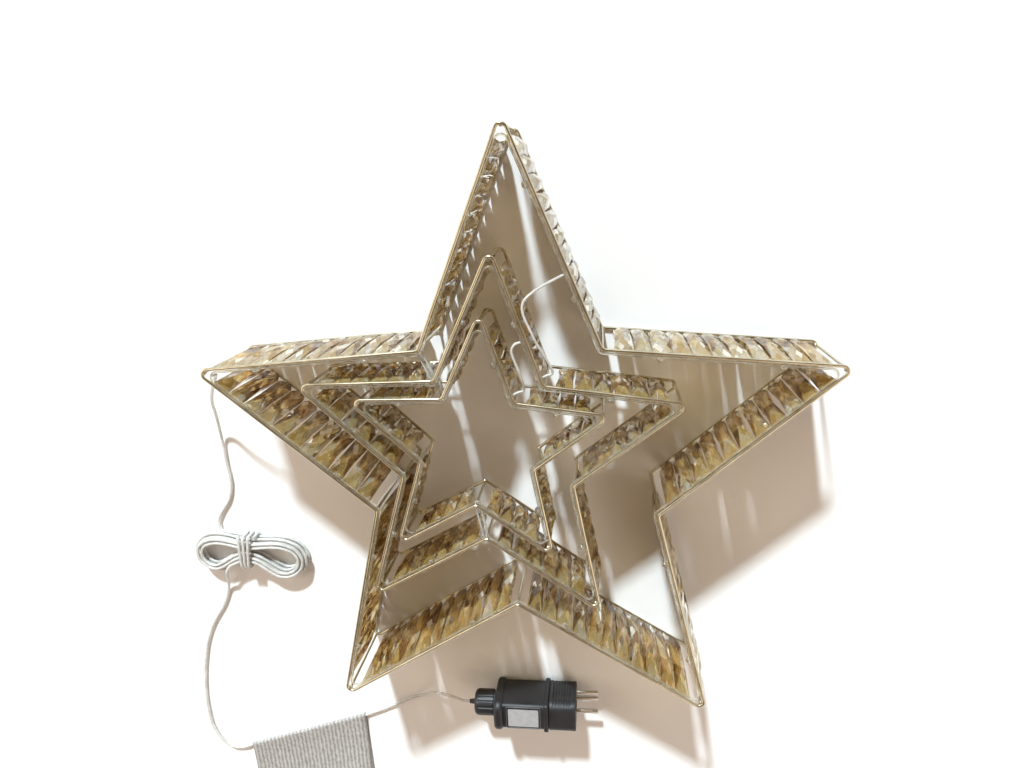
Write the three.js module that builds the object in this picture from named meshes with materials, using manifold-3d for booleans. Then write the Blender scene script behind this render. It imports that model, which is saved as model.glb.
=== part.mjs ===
// Three nested light-up stars of gilt rod, walled with faceted amber crystal, lying on their backs,
// with the clear lead, its hank and tag, and the plug-in driver on which the lead is screwed.
// Millimetres, +Z up. The large star lies on z = 0 and its top tip points along +Y.

import * as THREE from 'three';
import { mergeVertices } from 'three/addons/utils/BufferGeometryUtils.js';
import Module from 'manifold-3d';

const wasm = await Module();
wasm.setup();

// Star outlines: radius of the rod's line at tips and notches before the bends, and depth
const LARGE_TIP = 243;
const LARGE_NOTCH = 109;
const LARGE_DEPTH = 80;
const MEDIUM_TIP = 148;
const MEDIUM_NOTCH = 66;
const MEDIUM_DEPTH = 60;
const SMALL_TIP = 99.5;
const SMALL_NOTCH = 44;
const SMALL_DEPTH = 50;

// How the inner stars have settled in their ties, from the middle of the large star
const MEDIUM_SHIFT_X = -18;
const MEDIUM_SHIFT_Y = 11;
const MEDIUM_TURN_DEGREES = -2.9;
const SMALL_SHIFT_X = -25.5;
const SMALL_SHIFT_Y = 16;
const SMALL_TURN_DEGREES = -3.5;

// Rods, and the clearance between pieces that touch
const ROD = 2.5;
const POST = 2.2;
const BEND = 3.5;
const SEAT = 0.3;
const ROD_SIDES = 8;
const POST_SIDES = 6;
const BEND_STEP_DEGREES = 45;

// Corners of a star, counted counterclockwise from the top tip
const CORNERS = 10;
const UPPER_LEFT_NOTCH_INDEX = 1;
const LEFT_TIP_INDEX = 2;
const LOWER_LEFT_NOTCH_INDEX = 3;
const BOTTOM_NOTCH_INDEX = 5;
const UPPER_RIGHT_NOTCH_INDEX = 9;

// Crystal strips: faceted tiles on both faces of a thin web
const TILE = 12.9;
const RIDGE = 9;
const WEB = 1.6;
const HIP_SHARE = 0.38;
const TIP_CLEAR = 15;
const NOTCH_CLEAR = 8;

// Clear light cable inside each front rod, with moulded bulbs
const CABLE = 1.8;
const CABLE_BEND = 4;
const BULB = 4.4;
const LARGE_WALL_BULBS = 2;
const INNER_WALL_BULBS = 1;
const CABLE_INSET = ROD / 2 + SEAT + CABLE / 2;
const STRING_SIDES = 6;
const BULB_AROUND = 5;
const BULB_UP = 3;

// Clear nylon ties round pairs of posts
const TIE_WALL = 0.5;
const TIE_HEIGHT = 4;
const TIE_DROP = 3.5;
const TIE_STEP = 5;
const TIE_CURVE_STEPS = 4;

// Clear lead, and how it is wound in the hank
const LEAD = 2.6;
const LEAD_FLOOR = 0.1;
const HANK_RUN = 34;
const HANK_INNER = 2;
const HANK_STEP = 3.6;
const HANK_FLARE = 8;
const HANK_LAYER = 3.1;
const HANK_BOW = 75;
const HANK_LIFT = 3.4;
const HANK_X = -246;
const HANK_Y = -106;
const HANK_TURN_DEGREES = -4;
const HANK_CLIMB_TURNS = [2.375, 4.875, 7.375];
const CLIMB_TURNS = 0.25;
const HALF_RUN_TURNS = 0.125;
const HANK_TURNS = 9.5;
const EXIT_STEPS = 1;
const TANGENT_TURNS = 0.001;
const LOOP_STEPS = 24;
const LOOP_SIDES = 6;
const WRAP_TURNS = 3;
const WRAP_STEPS = 20;
const WRAP_PITCH = 3.8;
const WRAP_CLEAR = 0.7;
const WRAP_SQUARE_SHARE = 0.3;
const APART_DIAMETERS = 3;

// Tag folded over the lead
const TAG_WIDTH = 62;
const TAG_WALL = 0.4;
const TAG_CURVE_STEPS = 12;

// Loose cables: faces round them, length of a step in diameters, and where a link leaves its wall
const ROUTE_SIDES = 8;
const ROUTE_STEP_DIAMETERS = 3.2;
const ROUTE_MOST_STEPS = 80;
const LINK_SHARE = 0.34;

// Routes of the loose cables, from the middle of the large star
const LARGE_LINK_ROUTE = [[11, 121, 80], [17, 98, 78]];
const MEDIUM_LINK_ROUTE = [[2, 88, 78], [7, 70, 75]];
const HANK_ROUTE = [[-222.3, 67.5, 66], [-231, 57.5, 56.5], [-244, 40, 38], [-254.5, 19, 16],
  [-259.5, -3, 4], [-259.5, -24, 1.7], [-258, -46, 1.6], [-262, -62, 1.6],
  [-270, -73, 1.8], [-274.5, -82, 2.8], [-272, -89.5, 4]];
const TAG_ROUTE = [[-267, -125, 13], [-269.5, -132, 11], [-271.5, -140, 6.5], [-274.5, -150, 2.4],
  [-281, -166, 1.6], [-292, -182, 1.6], [-301, -200, 1.6], [-307, -220, 1.6], [-311, -240, 1.6],
  [-313.5, -260, 1.6], [-314, -280, 1.6], [-312, -300, 1.6], [-305, -316, 1.6], [-294, -324.5, 1.7],
  [-284, -324, 2]];
const TAG_FROM = [-273, -320, 2];
const TAG_TO = [-157, -279.5, 2];
const DRIVER_ROUTE = [[-146, -275, 2], [-128, -267, 1.6], [-108, -257, 2], [-88, -248, 7],
  [-72, -243.5, 16]];

// Driver, screwed joint and pins; lengths run along X from the flange's face
const DRIVER_X = -29;
const DRIVER_Y = -243;
const FLANGE_LENGTH = 8;
const FLANGE_WIDTH = 28;
const FLANGE_HEIGHT = 44;
const BODY_LENGTH = 39;
const BODY_WIDTH = 24.4;
const BODY_HEIGHT = 37;
const CORNER = 4;
const EDGE = 1;
const BEAD_LENGTH = 4;
const BEAD_RISE = 1.4;
const NECK = 14;
const NECK_LENGTH = 14;
const SOCKET = 9.6;
const SOCKET_DEPTH = 13;
const PLUG_SHORT = 1;
const SEAL_LENGTH = 1.4;
const SEAL_RIM = 2.4;
const NUT = 22;
const NUT_ROUND = 3.5;
const NUT_ROUND_STEPS = 3;
const NUT_SIDES = 28;
const NUT_RIBS = 14;
const RIB_CUT = 1.7;
const RIB_SIDES = 6;
const NUT_WALL = 2;
const THREAD_CLEAR = 0.6;
const COLLAR_RIM = 1.8;
const COLLAR_LENGTH = 2;
const TAIL = 4.6;
const TAIL_LENGTH = 7.4;
const TAIL_CLEAR = 0.8;
const ADAPTER_LENGTH = 23;
const ADAPTER_WIDTH = 29;
const ADAPTER_HEIGHT = 38;
const GRIP_RADIUS = 15;
const GRIP_DEPTH = 3;
const GRIP_RISE = 6;
const GRIP_WALL = 3;
const PIN = 4;
const PIN_LENGTH = 19;
const PIN_ROOT = 8;
const PIN_TAPER = 1;
const PIN_SPACING = 19;
const PIN_DROP = 6;
const EARTH_OFFSET = 5;
const LABEL_LENGTH = 26;
const LABEL_WIDTH = 17;
const LABEL_WALL = 0.2;
const LABEL_INSET = 4.5;
const NECK_SIDES = 20;
const SOCKET_SIDES = 16;
const SEAL_SIDES = 24;
const GRIP_SIDES = 28;
const PIN_SIDES = 12;
const CORNER_STEPS = 3;
const EDGE_STEPS = 1;

// Materials
const gilt = new THREE.MeshStandardMaterial({ color: 0xb9a873, roughness: 0.28, metalness: 1 });
const crystal = new THREE.MeshStandardMaterial({ color: 0xc9b378, roughness: 0.05, metalness: 0 });
const clear = new THREE.MeshStandardMaterial({ color: 0xd9dcda, roughness: 0.2, metalness: 0 });
const black = new THREE.MeshStandardMaterial({ color: 0x232326, roughness: 0.55, metalness: 0 });
const sealRubber = new THREE.MeshStandardMaterial({ color: 0x3c3c3e, roughness: 0.8, metalness: 0 });
const steel = new THREE.MeshStandardMaterial({ color: 0xb4b4b2, roughness: 0.25, metalness: 1 });
const paper = new THREE.MeshStandardMaterial({ color: 0xc8c8c8, roughness: 0.8, metalness: 0 });

function piece(name, geometry, material) {
  const mesh = new THREE.Mesh(geometry, material);
  mesh.name = name;
  return mesh;
}

// Solids to join and cut
function solidOf(geometry) {
  const bare = geometry.clone();
  bare.deleteAttribute('normal');
  bare.deleteAttribute('uv');
  const merged = mergeVertices(bare);
  return new wasm.Manifold(new wasm.Mesh({
    numProp: 3,
    vertProperties: new Float32Array(merged.attributes.position.array),
    triVerts: new Uint32Array(merged.index.array),
  }));
}

function geometryOf(solid) {
  const mesh = solid.getMesh();
  const geometry = new THREE.BufferGeometry();
  geometry.setAttribute('position', new THREE.BufferAttribute(mesh.vertProperties, 3));
  geometry.setIndex(new THREE.BufferAttribute(mesh.triVerts, 1));
  return geometry;
}

function joined(geometries) {
  const solids = geometries.map(solidOf);
  return geometryOf(solids.reduce((whole, solid) => whole.add(solid)));
}

function cut(geometry, tools) {
  const solids = tools.map(solidOf);
  return geometryOf(solids.reduce((whole, solid) => whole.subtract(solid), solidOf(geometry)));
}

function outward(geometry) {
  const place = geometry.attributes.position;
  const index = geometry.index.array;
  const [a, b, c] = [new THREE.Vector3(), new THREE.Vector3(), new THREE.Vector3()];
  let volume = 0;
  for (let corner = 0; corner < index.length; corner += 3) {
    a.fromBufferAttribute(place, index[corner]);
    b.fromBufferAttribute(place, index[corner + 1]);
    c.fromBufferAttribute(place, index[corner + 2]);
    volume += a.dot(b.cross(c));
  }
  if (volume < 0) {
    index.reverse();
  }
  return geometry;
}

// Skin over rings of points, closed on itself or capped at both ends
function skin(rings, closedLoop) {
  const sides = rings[0].length;
  const points = rings.flat();
  const faces = [];
  const spans = closedLoop ? rings.length : rings.length - 1;
  for (let ring = 0; ring < spans; ring += 1) {
    const here = ring * sides;
    const next = ((ring + 1) % rings.length) * sides;
    for (let side = 0; side < sides; side += 1) {
      const beside = (side + 1) % sides;
      faces.push(here + side, here + beside, next + beside);
      faces.push(here + side, next + beside, next + side);
    }
  }
  if (!closedLoop) {
    const last = (rings.length - 1) * sides;
    for (let side = 1; side < sides - 1; side += 1) {
      faces.push(0, side + 1, side);
      faces.push(last, last + side, last + side + 1);
    }
  }
  const geometry = new THREE.BufferGeometry().setFromPoints(points);
  geometry.setIndex(faces);
  return outward(geometry);
}

// Section of a round bar with a flat below, as pairs of across and up
function barSection(diameter, sides) {
  const radius = diameter / 2 / Math.cos(Math.PI / sides);
  return Array.from({ length: sides }, (_, side) => {
    const angle = (side + 0.5) * 2 * Math.PI / sides;
    return [radius * Math.sin(angle), -radius * Math.cos(angle)];
  });
}

// Corners of a five-pointed star, tip first, counterclockwise from the top
function starCorners(tip, notch) {
  return Array.from({ length: CORNERS }, (_, corner) => {
    const angle = Math.PI / 2 + corner * 2 * Math.PI / CORNERS;
    const radius = corner % 2 === 0 ? tip : notch;
    return new THREE.Vector2(radius * Math.cos(angle), radius * Math.sin(angle));
  });
}

// Each corner as a bend: the points of its arc
function bends(corners, radius) {
  return corners.map((corner, index) => {
    const arrive = corner.clone().sub(corners.at(index - 1)).normalize();
    const leave = corners[(index + 1) % corners.length].clone().sub(corner).normalize();
    const side = Math.sign(arrive.cross(leave));
    const turn = Math.acos(arrive.dot(leave));
    const start = corner.clone().addScaledVector(arrive, -radius * Math.tan(turn / 2));
    const centre = new THREE.Vector2(-arrive.y, arrive.x).multiplyScalar(side * radius).add(start);
    const steps = Math.max(1, Math.round(turn / THREE.MathUtils.degToRad(BEND_STEP_DEGREES)));
    return Array.from({ length: steps + 1 }, (_, step) => (
      start.clone().rotateAround(centre, side * turn * step / steps)
    ));
  });
}

function bendMiddle(arc) {
  const half = (arc.length - 1) / 2;
  return arc[Math.floor(half)].clone().lerp(arc[Math.ceil(half)], 0.5);
}

// A bar bent flat along a closed path
function barLoop(path, section, height) {
  const rings = path.map((point, index) => {
    const arrive = point.clone().sub(path.at(index - 1)).normalize();
    const leave = path[(index + 1) % path.length].clone().sub(point).normalize();
    const along = arrive.clone().add(leave).normalize();
    const across = new THREE.Vector2(along.y, -along.x).divideScalar(along.dot(leave));
    return section.map(([side, up]) => (
      new THREE.Vector3(point.x + across.x * side, point.y + across.y * side, height + up)
    ));
  });
  return skin(rings, true);
}

function post(place, from, to) {
  const bar = new THREE.CylinderGeometry(POST / 2, POST / 2, to - from, POST_SIDES);
  bar.rotateX(Math.PI / 2);
  bar.translate(place.x, place.y, (from + to) / 2);
  return bar;
}

// Crystal strip: a web along +X from the origin, each tile a ridge with hipped ends on both faces
function crystalStrip(length, height) {
  const tiles = Math.max(1, Math.round(length / TILE));
  const tile = length / tiles;
  const hip = height * HIP_SHARE;
  const points = [];
  const faces = [];
  for (let valley = 0; valley <= tiles; valley += 1) {
    for (const face of [1, -1]) {
      points.push(new THREE.Vector3(valley * tile, face * WEB / 2, 0));
      points.push(new THREE.Vector3(valley * tile, face * WEB / 2, height));
    }
  }
  for (let ridge = 0; ridge < tiles; ridge += 1) {
    const here = ridge * 4;
    const next = here + 4;
    for (const [face, low, high] of [[1, 0, 1], [-1, 2, 3]]) {
      const foot = points.length;
      points.push(new THREE.Vector3((ridge + 0.5) * tile, face * RIDGE / 2, hip));
      points.push(new THREE.Vector3((ridge + 0.5) * tile, face * RIDGE / 2, height - hip));
      const round = [here + low, next + low, foot, here + low, foot, foot + 1,
        here + low, foot + 1, here + high, here + high, foot + 1, next + high,
        next + low, next + high, foot + 1, next + low, foot + 1, foot];
      faces.push(...(face > 0 ? round.toReversed() : round));
    }
    faces.push(here, next, next + 2, here, next + 2, here + 2);
    faces.push(here + 1, next + 3, next + 1, here + 1, here + 3, next + 3);
  }
  const last = tiles * 4;
  faces.push(0, 2, 3, 0, 3, 1);
  faces.push(last, last + 3, last + 2, last, last + 1, last + 3);
  const geometry = new THREE.BufferGeometry().setFromPoints(points);
  geometry.setIndex(faces);
  return outward(geometry);
}

// The star's outline drawn in by a distance
function drawnIn(corners, distance) {
  const wall = corners[1].clone().sub(corners[0]);
  const wallDistance = Math.abs(corners[0].cross(wall)) / wall.length();
  return corners.map((corner) => corner.clone().multiplyScalar(1 - distance / wallDistance));
}

// Light cable inside the front rod, with bulbs on its inner side
function lightString(inner, height, bulbsPerWall) {
  const section = barSection(CABLE, STRING_SIDES);
  const cableLoop = barLoop(bends(inner, CABLE_BEND).flat(), section, height);
  const bulbs = [];
  inner.forEach((corner, index) => {
    const next = inner[(index + 1) % inner.length];
    const along = next.clone().sub(corner).normalize();
    for (let bulb = 0; bulb < bulbsPerWall; bulb += 1) {
      const share = (bulb + 0.5) / bulbsPerWall;
      const place = corner.clone().lerp(next, share);
      place.addScaledVector(new THREE.Vector2(-along.y, along.x), (BULB - CABLE) / 2);
      const dome = new THREE.SphereGeometry(BULB / 2, BULB_AROUND, BULB_UP);
      dome.translate(place.x, place.y, height);
      bulbs.push(dome);
    }
  });
  return joined([cableLoop, ...bulbs]);
}

function buildStar(name, tip, notch, depth, bulbsPerWall) {
  const star = new THREE.Group();
  const corners = starCorners(tip, notch);
  const arcs = bends(corners, BEND);
  const section = barSection(ROD, ROD_SIDES);
  const rearHeight = ROD / 2;
  const frontHeight = depth - ROD / 2;
  const posts = arcs.map((arc) => post(bendMiddle(arc), rearHeight, depth - ROD - SEAT));
  const rear = joined([barLoop(arcs.flat(), section, rearHeight), ...posts]);
  star.add(piece(`${name}_rear_frame`, rear, gilt));
  star.add(piece(`${name}_front_wire`, barLoop(arcs.flat(), section, frontHeight), gilt));
  const wallLength = corners[0].distanceTo(corners[1]);
  const stripFoot = ROD + SEAT;
  const strip = crystalStrip(wallLength - TIP_CLEAR - NOTCH_CLEAR, depth - 2 * stripFoot);
  corners.forEach((corner, index) => {
    const along = corners[(index + 1) % corners.length].clone().sub(corner).normalize();
    const foot = corner.clone().addScaledVector(along, index % 2 === 0 ? TIP_CLEAR : NOTCH_CLEAR);
    const mesh = piece(`${name}_crystal_strip_${index + 1}`, strip, crystal);
    mesh.position.set(foot.x, foot.y, stripFoot);
    mesh.rotation.z = along.angle();
    star.add(mesh);
  });
  const inner = drawnIn(corners, CABLE_INSET);
  star.add(piece(`${name}_light_string`, lightString(inner, frontHeight, bulbsPerWall), clear));
  star.userData = {
    corners,
    frontHeight,
    posts: arcs.map(bendMiddle),
    cableBends: bends(inner, CABLE_BEND).map(bendMiddle),
  };
  return star;
}

// Point of a star in the frame of the whole, once the star is in place
function placed(star, point, height) {
  star.updateMatrix();
  return new THREE.Vector3(point.x, point.y, height).applyMatrix4(star.matrix);
}

// Nylon tie: a band round two posts
function bandOutline(shape, length, radius) {
  shape.moveTo(0, -radius);
  shape.lineTo(length, -radius);
  shape.absarc(length, 0, radius, -Math.PI / 2, Math.PI / 2, false);
  shape.lineTo(0, radius);
  shape.absarc(0, 0, radius, Math.PI / 2, 3 * Math.PI / 2, false);
  return shape;
}

// Tie between the posts of two stars at the same corner, at a level counted down from the front
function tie(name, outerStar, innerStar, corner, level) {
  const from = placed(outerStar, outerStar.userData.posts[corner], 0);
  const to = placed(innerStar, innerStar.userData.posts[corner], 0);
  const length = Math.hypot(to.x - from.x, to.y - from.y);
  const band = bandOutline(new THREE.Shape(), length, POST / 2 + SEAT + TIE_WALL);
  band.holes.push(bandOutline(new THREE.Path(), length, POST / 2 + SEAT));
  const geometry = new THREE.ExtrudeGeometry(band, {
    depth: TIE_HEIGHT,
    bevelEnabled: false,
    curveSegments: TIE_CURVE_STEPS,
  });
  const mesh = piece(name, geometry, clear);
  mesh.position.set(from.x, from.y, LARGE_DEPTH - TIE_DROP - TIE_HEIGHT - TIE_STEP * level);
  mesh.rotation.z = Math.atan2(to.y - from.y, to.x - from.x);
  return mesh;
}

// Hank: loops laid flat, spiralling in and out again layer by layer, drawn in at the waist and bowed
function hankDrift(turn) {
  let drift = 0;
  let layer = 0;
  let inward = 1;
  let from = 0;
  for (const climb of HANK_CLIMB_TURNS) {
    if (turn <= climb) {
      break;
    }
    drift += inward * (climb - from);
    from = climb + CLIMB_TURNS;
    layer += Math.min((turn - climb) / CLIMB_TURNS, 1);
    inward = -inward;
  }
  drift += inward * Math.max(turn - from, Math.min(turn, 0));
  return { drift, layer };
}

function hankWaist() {
  return HANK_INNER + HANK_STEP * hankDrift(HANK_CLIMB_TURNS[0]).drift;
}

function hankBend(along, across, up) {
  const angle = along / HANK_BOW;
  const radius = HANK_BOW + across;
  const reach = HANK_RUN + HANK_FLARE + hankWaist();
  const lift = HANK_LIFT * Math.cos(Math.PI / 2 * Math.min(Math.abs(along) / reach, 1)) ** 2;
  return new THREE.Vector3(radius * Math.sin(angle), radius * Math.cos(angle) - HANK_BOW, up + lift);
}

function hankFlare(along) {
  return HANK_FLARE * Math.sin(Math.PI / 2 * along / HANK_RUN) ** 2;
}

function hankPoint(turn) {
  const { drift, layer } = hankDrift(turn);
  const waist = hankWaist() - HANK_STEP * drift;
  const quarters = (turn + HALF_RUN_TURNS - Math.floor(turn + HALF_RUN_TURNS)) * 4;
  const quarter = Math.floor(quarters);
  const share = quarters - quarter;
  const up = LEAD / 2 + LEAD_FLOOR + HANK_LAYER * layer;
  const side = quarter < 2 ? 1 : -1;
  if (quarter % 2 === 0) {
    const along = HANK_RUN * (2 * share - 1);
    return hankBend(side * along, side * (waist + hankFlare(along)), up);
  }
  const along = HANK_RUN + (waist + HANK_FLARE) * Math.sin(Math.PI * share);
  return hankBend(side * along, side * (waist + HANK_FLARE) * Math.cos(Math.PI * share), up);
}

// Centreline of the hank, with its ends run straight for one diameter
function hankLine() {
  const first = -EXIT_STEPS / LOOP_STEPS;
  const last = HANK_TURNS - first;
  const points = [];
  for (let step = -EXIT_STEPS; step <= HANK_TURNS * LOOP_STEPS + EXIT_STEPS; step += 1) {
    points.push(hankPoint(step / LOOP_STEPS));
  }
  const onward = (turn, ahead) => hankPoint(turn + ahead).sub(hankPoint(turn)).setZ(0).setLength(LEAD);
  const before = onward(first, -TANGENT_TURNS).add(points[0]);
  const after = onward(last, TANGENT_TURNS).add(points.at(-1));
  return [before, ...points, after];
}

// Tube of few sides along a line of points, for what is wound
function woundTube(line) {
  const section = barSection(LEAD, LOOP_SIDES);
  const rings = line.map((point, index) => {
    const before = line[Math.max(index - 1, 0)];
    const after = line[Math.min(index + 1, line.length - 1)];
    const along = after.clone().sub(before).normalize();
    const across = new THREE.Vector3(along.y, -along.x, 0);
    if (across.length() < Math.abs(along.z)) {
      across.set(1, 0, 0);
    }
    across.normalize();
    const up = across.clone().cross(along).normalize();
    return section.map(([side, rise]) => (
      point.clone().addScaledVector(across, side).addScaledVector(up, rise)
    ));
  });
  return skin(rings, false);
}

// Least distance between two stretches of a line that are not neighbours, less the tube's diameter
function leastGap(line) {
  const apart = APART_DIAMETERS * LEAD;
  const fine = new THREE.CurvePath();
  line.slice(1).forEach((point, index) => fine.add(new THREE.LineCurve3(line[index], point)));
  const points = fine.getSpacedPoints(Math.round(fine.getLength()));
  const spacing = fine.getLength() / (points.length - 1);
  let least = Infinity;
  points.forEach((point, index) => {
    for (let other = index + Math.ceil(apart / spacing); other < points.length; other += 1) {
      least = Math.min(least, point.distanceTo(points[other]));
    }
  });
  return least - LEAD;
}

// Three turns of lead round the hank's waist
function wrapLine() {
  const reach = WRAP_TURNS * WRAP_PITCH;
  const highest = HANK_CLIMB_TURNS.length * HANK_LAYER + LEAD;
  const middle = LEAD_FLOOR + HANK_LIFT + highest / 2;
  const halfWidth = hankWaist() + hankFlare(reach / 2) + LEAD + WRAP_CLEAR;
  const halfHeight = (highest + LEAD) / 2 + WRAP_CLEAR;
  const square = (value) => Math.sign(value) * Math.abs(value) ** WRAP_SQUARE_SHARE;
  const steps = WRAP_TURNS * WRAP_STEPS;
  return Array.from({ length: steps + 1 }, (_, step) => {
    const angle = 2 * Math.PI * (step + 0.5) / WRAP_STEPS;
    const place = hankBend(reach * (step / steps - 0.5), halfWidth * square(Math.cos(angle)), 0);
    return place.setZ(middle + halfHeight * square(Math.sin(angle)));
  });
}

function buildHank() {
  const hank = new THREE.Group();
  hank.position.set(HANK_X, HANK_Y, 0);
  hank.rotation.z = THREE.MathUtils.degToRad(HANK_TURN_DEGREES);
  const line = hankLine();
  const wrap = wrapLine();
  console.log(`hank: least gap ${leastGap(line).toFixed(2)} mm, wrap: ${leastGap(wrap).toFixed(2)} mm`);
  hank.add(piece('lead_hank', woundTube(line), clear));
  hank.add(piece('hank_tie', woundTube(wrap), clear));
  hank.updateMatrixWorld();
  const placed = line.map((point) => point.clone().applyMatrix4(hank.matrix));
  hank.userData = { line: placed };
  return hank;
}

// Plain round cable along a smooth route
function cable(name, points, diameter) {
  const route = new THREE.CatmullRomCurve3(points, false, 'centripetal');
  const section = barSection(diameter, ROUTE_SIDES);
  const round = new THREE.Shape(section.map(([x, y]) => new THREE.Vector2(x, y)));
  const wanted = Math.round(route.getLength() / (ROUTE_STEP_DIAMETERS * diameter));
  const steps = Math.min(ROUTE_MOST_STEPS, wanted);
  const geometry = new THREE.ExtrudeGeometry(round, { steps, extrudePath: route, bevelEnabled: false });
  return piece(name, geometry, clear);
}

// End of a link: under the front rod beside a notch post, then up to the light cable
function intoNotch(star, corner) {
  const { corners, frontHeight } = star.userData;
  const along = corners[(corner + 1) % corners.length].clone().sub(corners[corner]).normalize();
  const inward = new THREE.Vector2(-along.y, along.x);
  const gap = corners[corner].clone().addScaledVector(along, (POST / 2 + NOTCH_CLEAR) / 2);
  const top = frontHeight - CABLE / 2 - SEAT;
  const at = (distance, drop) => placed(star, gap.clone().addScaledVector(inward, distance), top - drop);
  return [
    at(-2 * CABLE_BEND, 2 * CABLE_BEND),
    at(-CABLE_BEND, 2 * CABLE_BEND),
    at(CABLE_INSET, CABLE_BEND),
    at(CABLE_INSET, 0),
  ];
}

// Start of a link: square off the light cable, at a share of the wall before a tip
function offWall(star, corner, share) {
  const { corners, frontHeight } = star.userData;
  const next = corners[(corner + 1) % corners.length];
  const along = next.clone().sub(corners[corner]).normalize();
  const inward = new THREE.Vector2(-along.y, along.x);
  const spot = corners[corner].clone().lerp(next, share);
  const start = CABLE_INSET + CABLE / 2 + SEAT;
  const at = (distance) => placed(star, spot.clone().addScaledVector(inward, distance), frontHeight);
  return [at(start), at(start + CABLE_BEND)];
}

// Tag: two leaves folded round the lead, which runs in the fold from one end to the other
function tag(from, to) {
  const fold = LEAD / 2 + SEAT + TAG_WALL;
  const leaf = 2 * TAG_WALL;
  const meet = Math.asin((leaf - fold) / fold);
  const outline = new THREE.Shape();
  outline.moveTo(0, 0);
  outline.lineTo(TAG_WIDTH, 0);
  outline.lineTo(TAG_WIDTH, leaf);
  outline.absarc(0, fold, fold, meet, 3 * Math.PI / 2, false);
  outline.holes.push(new THREE.Path().absarc(0, fold, fold - TAG_WALL, 0, 2 * Math.PI, false));
  const length = from.distanceTo(to);
  const geometry = new THREE.ExtrudeGeometry(outline, {
    depth: length,
    bevelEnabled: false,
    curveSegments: TAG_CURVE_STEPS,
  });
  const along = to.clone().sub(from).normalize();
  const leafwards = new THREE.Vector3(along.y, -along.x, 0);
  const up = new THREE.Vector3(0, 0, 1);
  const mesh = piece('warning_tag', geometry, paper);
  const turn = new THREE.Matrix4().makeBasis(leafwards, up, along.clone().negate());
  mesh.quaternion.setFromRotationMatrix(turn);
  mesh.position.set(to.x, to.y, 0);
  return mesh;
}

// Turned piece about the X axis: pairs of place along the axis and radius
function turned(profile, sides) {
  const points = profile.map(([along, radius]) => new THREE.Vector2(radius, along));
  return new THREE.LatheGeometry(points, sides).rotateZ(-Math.PI / 2);
}

// Block along X with rounded corners and softened ends
function block(from, length, width, height, corner, edge) {
  const outline = new THREE.Shape();
  const x = height / 2 - edge;
  const y = width / 2 - edge;
  const round = corner - edge;
  outline.absarc(x - round, y - round, round, 0, Math.PI / 2, false);
  outline.absarc(-x + round, y - round, round, Math.PI / 2, Math.PI, false);
  outline.absarc(-x + round, -y + round, round, Math.PI, 3 * Math.PI / 2, false);
  outline.absarc(x - round, -y + round, round, 3 * Math.PI / 2, 2 * Math.PI, false);
  const geometry = new THREE.ExtrudeGeometry(outline, {
    depth: length - 2 * edge,
    bevelEnabled: edge > 0,
    bevelThickness: edge,
    bevelSize: edge,
    bevelSegments: EDGE_STEPS,
    curveSegments: CORNER_STEPS,
  });
  return geometry.rotateY(Math.PI / 2).translate(from + edge, 0, 0);
}

function rodAlongX(from, length, y, z, diameter, sides) {
  const rod = new THREE.CylinderGeometry(diameter / 2, diameter / 2, length, sides);
  return rod.rotateZ(-Math.PI / 2).translate(from + length / 2, y, z);
}

function driverBody() {
  const flange = block(0, FLANGE_LENGTH, FLANGE_WIDTH, FLANGE_HEIGHT, CORNER, EDGE);
  const body = block(FLANGE_LENGTH - EDGE, BODY_LENGTH + EDGE, BODY_WIDTH, BODY_HEIGHT, CORNER, 0);
  const bead = block(BODY_LENGTH + FLANGE_LENGTH - BEAD_LENGTH, BEAD_LENGTH, BODY_WIDTH + 2 * BEAD_RISE,
    BODY_HEIGHT + 2 * BEAD_RISE, CORNER, EDGE);
  const neck = rodAlongX(-NECK_LENGTH, NECK_LENGTH + EDGE, 0, 0, NECK, NECK_SIDES);
  const socket = rodAlongX(-2 * NECK_LENGTH, NECK_LENGTH + SOCKET_DEPTH, 0, 0, SOCKET, SOCKET_SIDES);
  return cut(joined([flange, body, bead, neck]), [socket]);
}

function unionNut() {
  const face = -(2 * SEAT + SEAL_LENGTH);
  const seat = -(NECK_LENGTH + 2 * SEAT + COLLAR_LENGTH);
  const end = seat - NUT_WALL;
  const bore = NECK / 2 + THREAD_CLEAR;
  const rounding = Array.from({ length: NUT_ROUND_STEPS + 1 }, (_, step) => {
    const angle = Math.PI / 2 * (1 - step / NUT_ROUND_STEPS);
    return [end + NUT_ROUND * (1 - Math.sin(angle)), NUT / 2 - NUT_ROUND * (1 - Math.cos(angle))];
  });
  const hole = TAIL / 2 + TAIL_CLEAR;
  const shell = turned([[face, bore], [seat, bore], [seat, hole], [end, hole],
    ...rounding, [face, NUT / 2], [face, bore]], NUT_SIDES);
  const grooves = Array.from({ length: NUT_RIBS }, (_, rib) => {
    const angle = 2 * Math.PI * rib / NUT_RIBS;
    const radius = NUT / 2 + RIB_CUT / 4;
    const length = face - end - NUT_ROUND - RIB_CUT;
    const [y, z] = [radius * Math.cos(angle), radius * Math.sin(angle)];
    return rodAlongX(end + NUT_ROUND, length, y, z, RIB_CUT, RIB_SIDES);
  });
  return cut(shell, grooves);
}

function sealRing() {
  const inner = NECK / 2 + SEAT;
  const outer = inner + SEAL_RIM;
  const [near, far] = [-SEAT, -SEAT - SEAL_LENGTH];
  return turned([[near, inner], [far, inner], [far, outer], [near, outer], [near, inner]], SEAL_SIDES);
}

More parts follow.
